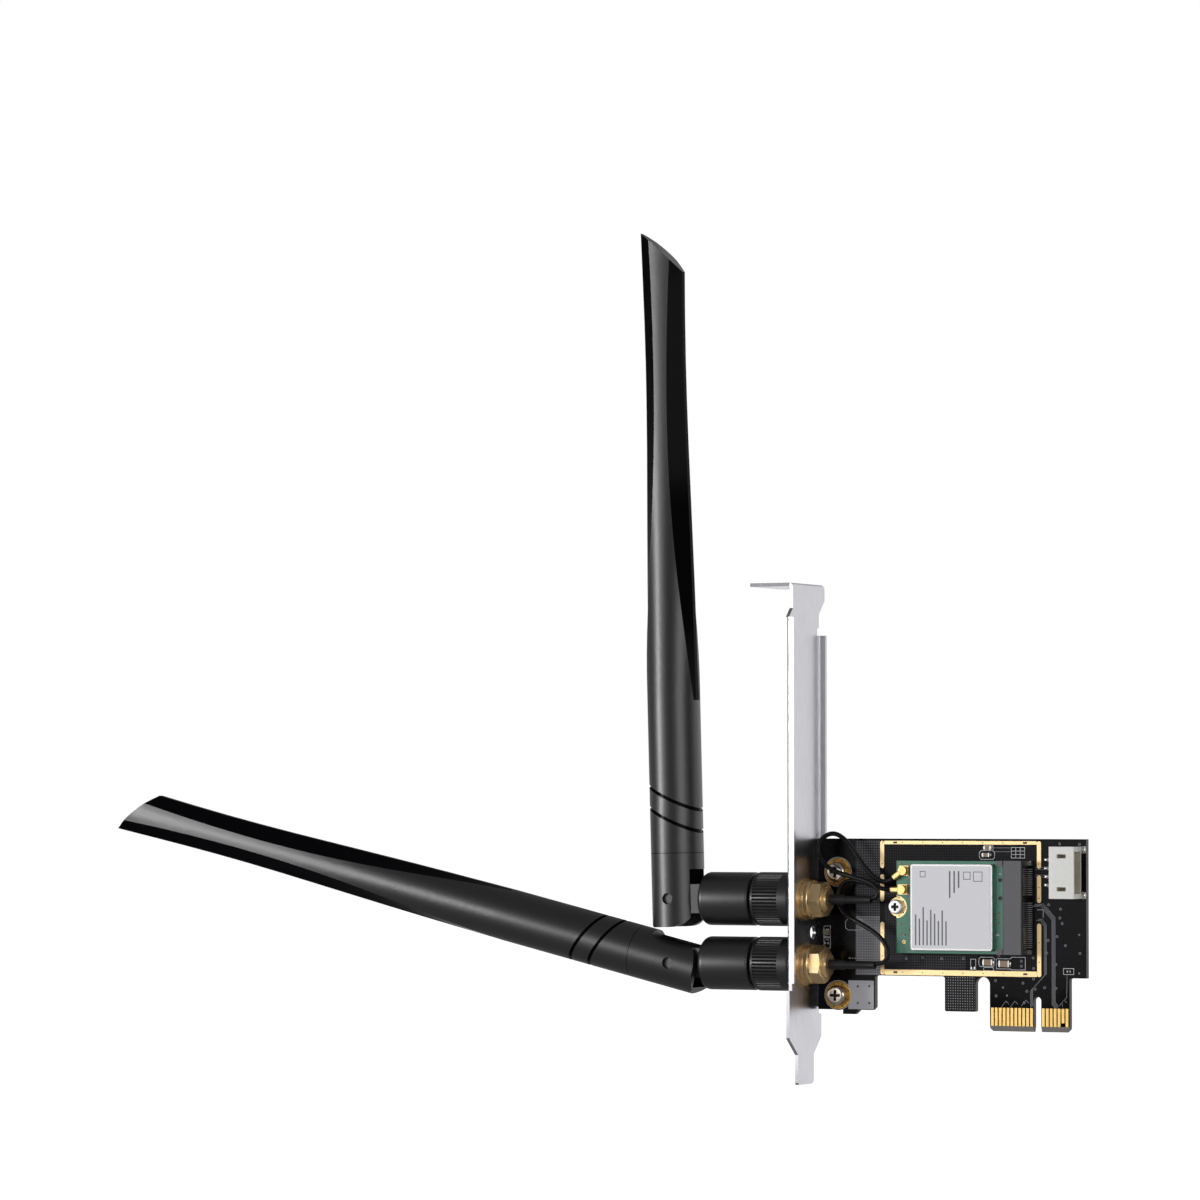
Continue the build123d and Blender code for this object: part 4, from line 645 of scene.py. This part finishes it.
# %% Lay the antenna leads
LEAD_DIAMETER = 1.13
ROUND_STEPS, SPAN_STEPS = 5, 8
JACK_BACK = 7.56
ROUTE_UPPER = (
    (JACK_BACK, -6.56, 31.0),
    (19.0, -6.56, 31.0),
    (20.5, -6.7, 32.5),
    (19.5, -6.8, 34.5),
    (16.6, -6.6, 35.7),
    (12.9, -6.4, 36.6),
    (9.2, -6.0, 37.5),
    (5.8, -5.6, 39.2),
    (3.6, -5.3, 42.3),
    (4.5, -5.1, 45.7),
    (7.8, -5.0, 47.2),
    (10.9, -4.9, 45.5),
    (13.3, -4.7, 42.2),
    (15.6, -4.6, 39.0),
    (18.2, -4.4, 36.3),
    (20.7, -4.2, 35.2),
    (22.2, -4.1, 35.6),
    (23.17, -4.1, 36.32),
)
ROUTE_LOWER = (
    (JACK_BACK, -6.56, 15.45),
    (20.7, -6.56, 15.45),
    (22.5, -6.4, 16.9),
    (22.5, -6.2, 19.5),
    (20.6, -5.9, 22.0),
    (17.6, -5.5, 24.0),
    (13.9, -5.0, 25.8),
    (10.7, -4.5, 27.2),
    (8.8, -4.0, 29.4),
    (8.4, -3.9, 32.2),
    (9.4, -3.9, 34.8),
    (12.0, -4.1, 35.8),
    (15.2, -4.2, 35.2),
    (18.2, -4.2, 34.2),
    (20.7, -4.1, 33.55),
    (22.46, -4.1, 33.47),
)


def lay_lead(name, route, node):
    """A lead's jacket as one smooth curve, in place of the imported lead."""
    curve = bpy.data.curves.new(name, "CURVE")
    curve.dimensions = "3D"
    curve.bevel_depth = LEAD_DIAMETER / 2 * MM
    curve.bevel_resolution = ROUND_STEPS
    curve.use_fill_caps = True
    line = curve.splines.new("NURBS")
    line.points.add(len(route) - 1)
    for point, place in zip(line.points, route):
        point.co = (*(c * MM for c in place), 1.0)
    line.order_u = 3
    line.use_endpoint_u = True
    line.resolution_u = SPAN_STEPS
    line.use_smooth = True
    curve.materials.append(lead_jacket)
    lead = bpy.data.objects.new(name, curve)
    bpy.context.scene.collection.objects.link(lead)
    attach(lead, "root")
    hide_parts(node)


lay_lead("upper_lead_jacket", ROUTE_UPPER, "upper_lead")
lay_lead("lower_lead_jacket", ROUTE_LOWER, "lower_lead")
print("lead points:", len(ROUTE_UPPER), len(ROUTE_LOWER))

# %% [markdown]
# White ink outlines, covered traces and small plated holes are what make a board read as a board.
# Each is a thin ribbon, disc or ring that stands a few hundredths of a millimetre proud of the mask.
# A texture could draw them, but shapes stay sharp from close by. A ribbon starts as a chain of edges
# that is extruded sideways and then thickened, and a ring is two circles with a bridge between them.

# %% Helpers for printed marks
PRINT_LIFT = 0.02
SHARPEST_MITRE = 0.3


def upright(x, y, z):
    """A matrix that stands a flat shape up at a place, in X and Z."""
    return Matrix.Translation(Vector((x, y, z)) * MM) @ Matrix.Rotation(math.radians(90), 4, "X")


def thicken(shape, faces, thick):
    """Faces that lie flat in X and Z become a closed slab, with its top towards -Y."""
    made = bmesh.ops.extrude_face_region(shape, geom=faces)
    lifted = [item for item in made["geom"] if isinstance(item, bmesh.types.BMVert)]
    bmesh.ops.translate(shape, verts=lifted, vec=(0, -thick * MM, 0))


def mitres(points, half):
    """For each point of a line in X and Z, the sideways step to the ribbon's edge."""
    steps = []
    for i, point in enumerate(points):
        here = Vector(point)
        heading_in = (here - Vector(points[i - 1])).normalized() if i > 0 else None
        heading_out = (Vector(points[i + 1]) - here).normalized() if i < len(points) - 1 else None
        heading_in = heading_in or heading_out
        middle = (heading_in + (heading_out or heading_in)).normalized()
        reach = half / max(SHARPEST_MITRE, middle.dot(heading_in))
        steps.append(Vector((-middle.y, middle.x)) * reach)
    return steps


def ribbon(shape, points, width, y, thick):
    """A flat ribbon along points in X and Z, mitred at its bends, facing -Y."""
    rows = list(zip(points, mitres(points, width / 2)))
    chain = [shape.verts.new(((x - s.x) * MM, y * MM, (z - s.y) * MM)) for (x, z), s in rows]
    edges = [shape.edges.new(pair) for pair in zip(chain, chain[1:])]
    made = bmesh.ops.extrude_edge_only(shape, edges=edges)["geom"]
    for vert, ((x, z), step) in zip(chain, rows):
        twin = next(edge.other_vert(vert) for edge in vert.link_edges if edge not in edges)
        twin.co = ((x + step.x) * MM, y * MM, (z + step.y) * MM)
    faces = [item for item in made if isinstance(item, bmesh.types.BMFace)]
    bmesh.ops.recalc_face_normals(shape, faces=faces)
    thicken(shape, faces, thick)


def disc(shape, x, z, radius, y, thick, segments=10):
    """A round slab facing -Y."""
    made = bmesh.ops.create_circle(
        shape, cap_ends=True, segments=segments, radius=radius * MM, matrix=upright(x, y, z))
    thicken(shape, made["verts"][0].link_faces[:], thick)


def ring(shape, x, z, outer, inner, y, thick, segments=32):
    """A flat ring facing -Y."""
    edges = {}
    for radius in (outer, inner):
        made = bmesh.ops.create_circle(
            shape, segments=segments, radius=radius * MM, matrix=upright(x, y, z))
        edges.update((edge, radius) for vert in made["verts"] for edge in vert.link_edges)
    thicken(shape, bmesh.ops.bridge_loops(shape, edges=list(edges))["faces"], thick)


def slab(shape, x0, x1, z0, z1, y, thick):
    """A rectangular slab facing -Y."""
    place = Matrix.Translation(Vector(((x0 + x1) / 2, y - thick / 2, (z0 + z1) / 2)) * MM)
    scale = Matrix.Diagonal(((x1 - x0) * MM, thick * MM, (z1 - z0) * MM, 1))
    bmesh.ops.create_cube(shape, size=1, matrix=place @ scale)


def finish_shape(shape, name, finish):
    """Ends the work on a shape: its faces turned outwards, and a piece of the card made of it."""
    bmesh.ops.recalc_face_normals(shape, faces=shape.faces)
    mesh = bpy.data.meshes.new(name)
    shape.to_mesh(mesh)
    shape.free()
    return add_piece(name, mesh, "root", finish)


print("print stands proud by, in mm:", PRINT_LIFT)

# %% [markdown]
# The ink marks on this board are outlines round its parts and plain boxes. Each list below holds
# places in X and Z, read from the picture and turned into millimetres on the board's face.

# %% Print the white outlines
BOARD_FACE = 0.0
INK = 0.13
SCREW_RING = (3.62, 3.46)
GRID_LEFT, GRID_RIGHT, GRID_FOOT, GRID_TOP = 51.8, 55.2, 41.1, 43.6


def box_points(x0, x1, z0, z1, corner=0.0):
    """The corners of a closed rectangle, cut off or not, starting on the middle of a side."""
    mid = (z0 + z1) / 2
    if corner == 0:
        return ((x0, mid), (x0, z1), (x1, z1), (x1, z0), (x0, z0), (x0, mid))
    top = ((x0, z1 - corner), (x0 + corner, z1), (x1 - corner, z1), (x1, z1 - corner))
    bottom = ((x1, z0 + corner), (x1 - corner, z0), (x0 + corner, z0), (x0, z0 + corner))
    return ((x0, mid), *top, *bottom, (x0, mid))


outlines = (
    box_points(43.6, 47.5, 40.75, 42.85, 0.45),
    box_points(44.6, 47.3, 42.95, 44.05, 0.3),
    box_points(GRID_LEFT, GRID_RIGHT, GRID_FOOT, GRID_TOP),
    box_points(43.4, 47.5, 15.3, 17.5, 0.45),
    box_points(44.6, 47.2, 14.3, 15.1, 0.2),
    box_points(47.9, 51.7, 14.8, 17.2),
    box_points(51.7, 55.3, 14.6, 17.6),
    box_points(41.3, 42.6, 14.6, 17.0),
    box_points(65.0, 67.6, 13.7, 15.1),
    box_points(3.0, 4.7, 19.2, 21.7),
    box_points(3.0, 4.7, 21.9, 24.5),
    box_points(8.7, 13.3, 23.6, 26.2, 0.6),
)
ink = bmesh.new()
for points in outlines:
    ribbon(ink, points, INK, BOARD_FACE, PRINT_LIFT)
for x, z in SCREW_PLACES:
    ring(ink, x, z, *SCREW_RING, BOARD_FACE, PRINT_LIFT)
for i in (1, 2):        # a grid of nine cells; each set of lines is a little thicker than the last
    across, level = GRID_LEFT + i * 1.13, GRID_FOOT + i * 0.83
    ribbon(ink, ((across, GRID_FOOT), (across, GRID_TOP)), INK, BOARD_FACE, PRINT_LIFT * 1.2)
    ribbon(ink, ((GRID_LEFT, level), (GRID_RIGHT, level)), INK, BOARD_FACE, PRINT_LIFT * 1.4)
ribbon(ink, ((59.9, 27.0), (59.9, 28.9), (58.4, 28.9)), INK, BOARD_FACE, PRINT_LIFT)
finish_shape(ink, "silkscreen_outlines", white_ink)
print("ink outlines:", len(outlines))

# %% [markdown]
# Copper traces lie under the mask and show as slightly raised, paler lines. On the real board the
# mask flows over them. Here each is a ribbon of its own in the colour of mask over copper, because
# that costs few faces. Traces that run side by side share one route and are shifted apart.

# %% Run the traces
TRACE = 0.12
TRACE_PITCH = 0.26
TRACE_SLANT = 0.7       # how far a trace moves up for each step to the side, so that bends stay even
BUNDLE = ((57.4, 29.9), (58.7, 29.9), (59.5, 30.1), (62.5, 26.8), (62.5, 6.8), (63.4, 5.8))
PAIR = ((58.4, 26.5), (59.4, 26.5), (60.4, 25.2), (60.4, 13.6), (56.9, 9.9), (56.9, 5.9))
SINGLE = ((65.9, 13.6), (65.8, 8.3), (64.7, 7.2), (64.7, 6.0))
STUB_LEVELS = (42.6, 43.5)
PIN_LINE_LEVELS = (36.6, 37.1, 38.4, 38.9)
KINK_PLACES = ((49.9, 6.7), (52.2, 6.7), (55.0, 7.0), (64.7, 7.2))
traces = bmesh.new()
for points, count in ((BUNDLE, 4), (PAIR, 3), (SINGLE, 1)):
    for i in range(count):
        shift = TRACE_PITCH * (i - (count - 1) / 2)
        moved = [(x + shift, z + shift * TRACE_SLANT) for x, z in points]
        ribbon(traces, moved, TRACE, BOARD_FACE, PRINT_LIFT)
for z in STUB_LEVELS:
    ribbon(traces, ((47.5, z), (GRID_LEFT, z)), TRACE, BOARD_FACE, PRINT_LIFT)
for z in PIN_LINE_LEVELS:
    ribbon(traces, ((57.9, z), (60.5, z)), TRACE, BOARD_FACE, PRINT_LIFT)
for x, z in KINK_PLACES:
    kink = ((x - 0.7, z - 0.9), (x + 0.4, z + 0.5), (x + 1.2, z - 0.2))
    ribbon(traces, kink, TRACE, BOARD_FACE, PRINT_LIFT)
finish_shape(traces, "board_traces", copper_under_mask)
print("trace width in mm:", TRACE)

# %% [markdown]
# The gold rails round the module and the rings under the screws are stitched to the copper behind
# them by small plated holes. Real holes would need cuts through the board. Seen from in front, a
# dark disc that stands barely proud of the gold looks the same.

# %% Drill the holes in the gold
GOLD_FACE = -0.05
RAIL_LEFT, RAIL_RIGHT, RAIL_TOP, RAIL_FOOT = 18.36, 58.85, 44.69, 13.63
RAIL_HOLE = 0.14
RAIL_HOLES_START, RAIL_HOLE_STEP, RAIL_HOLE_COUNT = 18.5, 5.2, 8
LEFT_HOLE_LEVELS = (39.6, 35.1, 23.0, 17.5)
RIGHT_HOLE_LEVELS = (39.7, 34.2, 31.6, 21.1, 16.5)
RAIL_SLOTS = (21.8, 55.3)
SLOT_HALF_LENGTH, SLOT_HALF_WIDTH = 0.5, 0.24
PAD_HOLE, PAD_HOLE_CIRCLE, PAD_HOLE_COUNT = 0.2, 2.85, 8
rails = (RAIL_TOP, RAIL_FOOT)
rail_holes = [(RAIL_HOLES_START + RAIL_HOLE_STEP * i, z) for i in range(RAIL_HOLE_COUNT) for z in rails]
rail_holes += [(RAIL_LEFT, z) for z in LEFT_HOLE_LEVELS] + [(RAIL_RIGHT, z) for z in RIGHT_HOLE_LEVELS]
holes = bmesh.new()
for x, z in rail_holes:
    disc(holes, x, z, RAIL_HOLE, GOLD_FACE, PRINT_LIFT)
for x in RAIL_SLOTS:
    for z in rails:
        left, foot = x - SLOT_HALF_LENGTH, z - SLOT_HALF_WIDTH
        slab(holes, left, x + SLOT_HALF_LENGTH, foot, z + SLOT_HALF_WIDTH, GOLD_FACE, PRINT_LIFT)
for x, z in SCREW_PLACES:
    for k in range(PAD_HOLE_COUNT):
        angle = math.tau * (k + 0.5) / PAD_HOLE_COUNT
        across, level = PAD_HOLE_CIRCLE * math.cos(angle), PAD_HOLE_CIRCLE * math.sin(angle)
        disc(holes, x + across, z + level, PAD_HOLE, GOLD_FACE, PRINT_LIFT)
finish_shape(holes, "rail_holes", dark_hole)
print("holes in the rails:", len(rail_holes))

# %% [markdown]
# A via is a plated hole that joins the board's two faces. Under the mask its rim shows as a pale
# ring round a dark point, and a filled one as a pale dot. Their places are read from the picture.

# %% Drill the vias
VIA_RING, VIA_HOLE, FILLED_VIA = (0.32, 0.2), 0.19, 0.24
VIA_PLACES = (
    (64.1, 44.5), (69.1, 44.4), (61.3, 30.1), (64.3, 29.1), (64.1, 27.0), (64.7, 25.7), (63.4, 22.6),
    (65.5, 20.5), (61.1, 21.7), (60.8, 18.7), (69.2, 18.7), (63.1, 16.0), (60.2, 10.5), (63.1, 10.4),
    (57.4, 12.5), (54.7, 11.5), (55.7, 9.6), (47.7, 12.0), (47.8, 8.4), (57.8, 10.1), (57.3, 17.5),
    (57.4, 15.0), (39.4, 17.1), (33.8, 17.0), (11.9, 10.1), (14.9, 10.2), (11.9, 6.1), (14.9, 6.1),
    (55.0, 6.9), (54.3, 16.7), (54.3, 15.5), (28.9, 17.2), (24.6, 16.9), (48.5, 17.9),
)
FILLED_VIAS = ((69.0, 23.1), (69.0, 14.0), (50.6, 8.5), (49.6, 10.4))
vias = bmesh.new()
via_centres = bmesh.new()
for x, z in VIA_PLACES:
    ring(vias, x, z, *VIA_RING, BOARD_FACE, PRINT_LIFT, 16)
    disc(via_centres, x, z, VIA_HOLE, BOARD_FACE, PRINT_LIFT * 0.5)
for x, z in FILLED_VIAS:
    disc(vias, x, z, FILLED_VIA, BOARD_FACE, PRINT_LIFT, 12)
finish_shape(vias, "via_rings", copper_under_mask)
finish_shape(via_centres, "via_holes", dark_hole)
print("vias:", len(VIA_PLACES) + len(FILLED_VIAS))

# %% [markdown]
# Solder is what holds the small parts. It wets each metal end and draws up into a bright, rounded
# fillet, so every mound is a squashed sphere with its foot sunk into the board.

# %% Flow the solder
PIN_ROWS = (34.725, 36.725, 38.725, 40.725)
TAB_ROWS = (32.35, 43.1)
CHIP_PLACES = (     # middle in X and Z, length, width
    (45.9, 43.5, 1.8, 0.9), (45.5, 41.8, 1.8, 0.9), (45.9, 16.3, 2.4, 1.4), (50.1, 16.0, 2.6, 1.5),
)
EDGE_ROWS = (20.4, 21.2, 22.6, 23.6)
PAD_START, PAD_STEP, PAD_WIDTH = 9.6, 0.75, 0.35


def mound(shape, x, z, length, width, height):
    """A rounded heap of solder on the board's face."""
    place = Matrix.Translation(Vector((x, BOARD_FACE, z)) * MM)
    size = Matrix.Diagonal((length / 2 * MM, height * MM, width / 2 * MM, 1))
    bmesh.ops.create_uvsphere(shape, u_segments=16, v_segments=10, radius=1, matrix=place @ size)


mounds = [(60.9, z, 1.5, 0.95, 0.42) for z in PIN_ROWS]
mounds += [(70.1, z, 1.4, 1.9, 0.5) for z in TAB_ROWS]
for x, z, length, width in CHIP_PLACES:
    mounds += [(x + end * (length / 2 + 0.1), z, 0.7, width * 1.1, 0.5) for end in (-1, 1)]
mounds += [(3.85, z, 1.0, 0.5, 0.3) for z in EDGE_ROWS]
solder = bmesh.new()
for sizes in mounds:
    mound(solder, *sizes)
for x in (66.0, 66.7):
    slab(solder, x - 0.16, x + 0.16, 14.1, 14.7, BOARD_FACE, 0.08)
for i in range(5):
    left = PAD_START + PAD_STEP * i
    slab(solder, left, left + PAD_WIDTH, 16.7, 17.0, BOARD_FACE, 0.06)
solder_piece = finish_shape(solder, "solder_fillets", bright_tin)
for face in solder_piece.data.polygons:
    face.use_smooth = True
print("solder mounds:", len(mounds))

# %% [markdown]
# The radio module is a board of its own, with green mask, a few tiny parts beside its plugs, plated
# holes round its half ring and two white arrowheads. They are plain slabs and discs on its face.

# %% Dress the radio module
MODULE_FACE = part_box("module_board")[0].y / MM
CHIP_HALF_LENGTH, CHIP_HALF_WIDTH, CHIP_HEIGHT = 0.3, 0.16, 0.25
MODULE_CHIPS = (
    (26.9, 36.4), (27.0, 34.6), (24.3, 35.9), (26.7, 32.2), (26.9, 31.3), (24.3, 25.2), (26.6, 24.0),
    (25.4, 22.7), (26.9, 21.9), (24.4, 39.7), (27.0, 39.5), (49.6, 28.1), (49.6, 26.9), (49.6, 25.7),
)
ARROWHEADS = ((49.6, 23.0, 0.55), (50.2, 37.4, 0.45))
MODULE_HOLES = ((50.3, 35.9, 0.5), (50.3, 31.6, 0.5), (25.4, 21.0, 0.22))
HALF_RING_CIRCLE, HALF_RING_HOLE = 2.25, 0.16
module_parts = bmesh.new()
for x, z in MODULE_CHIPS:
    ends = (x - CHIP_HALF_LENGTH, x + CHIP_HALF_LENGTH)
    sides = (z - CHIP_HALF_WIDTH, z + CHIP_HALF_WIDTH)
    slab(module_parts, *ends, *sides, MODULE_FACE, CHIP_HEIGHT)
finish_shape(module_parts, "module_chips", tan_ceramic)
module_marks = bmesh.new()
for x, z, size in ARROWHEADS:
    points = ((x - size, z - size / 2), (x, z + size / 2), (x + size, z - size / 2))
    corners = [module_marks.verts.new(Vector((a, MODULE_FACE, b)) * MM) for a, b in points]
    thicken(module_marks, [module_marks.faces.new(corners)], PRINT_LIFT)
finish_shape(module_marks, "module_marks", white_ink)
module_holes = bmesh.new()
for x, z, radius in MODULE_HOLES:
    disc(module_holes, x, z, radius, MODULE_FACE - PRINT_LIFT, PRINT_LIFT, 20)
for k in range(5):
    angle = math.radians(-72 + 36 * k)
    x = MODULE_SCREW_PLACE[0] + HALF_RING_CIRCLE * math.cos(angle)
    z = MODULE_SCREW_PLACE[1] + HALF_RING_CIRCLE * math.sin(angle)
    disc(module_holes, x, z, HALF_RING_HOLE, MODULE_FACE + GOLD_FACE, PRINT_LIFT)
finish_shape(module_holes, "module_holes", dark_hole)
module_ring = bmesh.new()
ring(module_ring, 25.4, 21.0, 0.42, 0.22, MODULE_FACE, PRINT_LIFT, 20)
finish_shape(module_ring, "module_hole_ring", plug_gold)
print("module parts:", len(MODULE_CHIPS))

# %% [markdown]
# The label on the radio module is white paper with dark print. Plain bars and empty frames of ink,
# each a slab hardly thicker than a coat of paint, give it a real label's balance of grey and white.
# They are generic marks, with nothing to read.

# %% Print bars on the label
random.seed(7)
LABEL_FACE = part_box("shield_label")[0].y / MM
BAR_THICK = 0.015
LONG_START, LONG_STEP, LONG_WIDTH, LONG_FOOT = 29.0, 0.98, 0.34, 20.3
SHORT_START, SHORT_STEP, SHORT_WIDTH, SHORT_FOOT, SHORT_TOP = 37.8, 1.15, 0.36, 31.6, 38.0
FRAMES = ((45.2, 36.7, 2.2), (42.4, 36.9, 1.7), (31.0, 37.2, 1.3))      # middle in X and Z, side
FRAME_LINE = 0.16
bars = bmesh.new()
for column in range(9):
    x = LONG_START + LONG_STEP * column
    length = random.uniform(5.5, 11.0)
    slab(bars, x, x + LONG_WIDTH, LONG_FOOT, LONG_FOOT + length, LABEL_FACE, BAR_THICK)
for column in range(3):
    x = SHORT_START + SHORT_STEP * column
    slab(bars, x, x + SHORT_WIDTH, SHORT_FOOT + 1.2 * column, SHORT_TOP, LABEL_FACE, BAR_THICK)
for x, z, side in FRAMES:
    corners = box_points(x - side / 2, x + side / 2, z - side / 2, z + side / 2)
    ribbon(bars, corners, FRAME_LINE, LABEL_FACE, BAR_THICK)
finish_shape(bars, "label_bars", dark_print)
print("frames on the label:", len(FRAMES))

# %% [markdown]
# Black plastic only shows what it reflects, so the light is built for its reflections. The key is a
# tall narrow lamp to the left, level with the card, that draws the long highlights and the leads'
# shadows. A wide fill stands to the right. A weak, broad card a little left of straight in front is
# there for the gold: it lies where the nuts' front facets mirror it.

# %% Aim the lamps
LAMP_DISTANCE = 2.5
LAMP_LEVEL = 0.03
LAMPS = (       # name, degrees right of straight in front, width and height in metres, watts
    ("key_softbox", -45, (0.3, 0.75), 42),
    ("fill_softbox", 50, (1.5, 1.5), 27),
    ("reflector_card", -27, (0.9, 0.9), 6.5),
)


def add_lamp(name, turn_right, size, power):
    """A soft lamp level with the card, turned so many degrees to the right of straight in front."""
    angle = math.radians(turn_right)
    data = bpy.data.lights.new(name, "AREA")
    data.shape = "RECTANGLE"
    data.size, data.size_y = size
    data.energy = power
    lamp = bpy.data.objects.new(name, data)
    bpy.context.scene.collection.objects.link(lamp)
    lamp.location = (LAMP_DISTANCE * math.sin(angle), -LAMP_DISTANCE * math.cos(angle), LAMP_LEVEL)
    aim = Vector(lamp.location) - Vector((0, 0, LAMP_LEVEL))
    lamp.rotation_euler = aim.to_track_quat("Z", "Y").to_euler()


for lamp_values in LAMPS:
    add_lamp(*lamp_values)
print("lamps stand", LAMP_DISTANCE, "m away")

# %% [markdown]
# The picture's background is pure white, but a room that is white all round would wash the black
# plastic out. So the room is white only behind the card, to the camera and to what metal mirrors,
# and dim everywhere else. The light path node tells those rays apart.

# %% Light the room
ROOM_LEVEL = 0.2
BACKDROP_HEADING = (0.5, 0.866, 0.0)
BACKDROP_RAMP = (0.6, 0.85)


def seen_white(tree, behind):
    """1 for what the camera sees, straight or through resin, and for mirrored rays that go behind."""
    path = add_node(tree, "ShaderNodeLightPath").outputs
    mirrored = calculate(tree, "MULTIPLY", path["Is Glossy Ray"], behind)
    seen = calculate(tree, "MAXIMUM", path["Is Camera Ray"], path["Is Transmission Ray"])
    return calculate(tree, "MAXIMUM", seen, mirrored)


world = bpy.data.worlds.new("studio_world")
world.use_nodes = True
room = world.node_tree
backdrop = room.nodes["Background"]
backdrop.inputs["Color"].default_value = (1, 1, 1, 1)
heading = add_node(room, "ShaderNodeTexCoord").outputs["Generated"]
dot = {"operation": "DOT_PRODUCT"}
facing = add_node(room, "ShaderNodeVectorMath", dot, _0=heading, _1=BACKDROP_HEADING)
white = seen_white(room, rise(room, facing.outputs["Value"], *BACKDROP_RAMP))
room.links.new(spread(room, white, ROOM_LEVEL, 1.0), backdrop.inputs["Strength"])
bpy.context.scene.world = world
print("dim room at", ROOM_LEVEL)

# %% [markdown]
# A plain pale floor lies well below the card, lower than the antennas reach when they swing down. It
# is white to the camera and to what metal mirrors behind the card, like the backdrop, but it sends no
# light of its own onto the card, so the shadows stay. The camera stands low, so the floor's far part
# meets the white room with no line between them.

# %% Lay the floor
FLOOR_LEVEL = -0.06
FLOOR_HALF = 4.0
FLOOR_GLOW = 0.9
FLOOR_RAMP = (0.05, 0.4)        # metres behind the card where mirrored rays start to see it white
shape = bmesh.new()
bmesh.ops.create_grid(shape, x_segments=1, y_segments=1, size=FLOOR_HALF)
bmesh.ops.translate(shape, verts=shape.verts, vec=(0, 0, FLOOR_LEVEL))
floor_mesh = bpy.data.meshes.new("floor")
shape.to_mesh(floor_mesh)
shape.free()
paper, tree, shader, place = new_finish("pale_paper_floor", Roughness=0.9)
shader.inputs["Base Color"].default_value = colour("#e8e8e8")
shader.inputs["Emission Color"].default_value = (1, 1, 1, 1)
depth = add_node(tree, "ShaderNodeSeparateXYZ", None, Vector=place).outputs["Y"]
glow = seen_white(tree, rise(tree, depth, *FLOOR_RAMP))
tree.links.new(spread(tree, glow, 0.0, FLOOR_GLOW), shader.inputs["Emission Strength"])
floor_mesh.materials.append(paper)
floor = bpy.data.objects.new("floor", floor_mesh)
bpy.context.scene.collection.objects.link(floor)
print("floor height in m:", FLOOR_LEVEL)
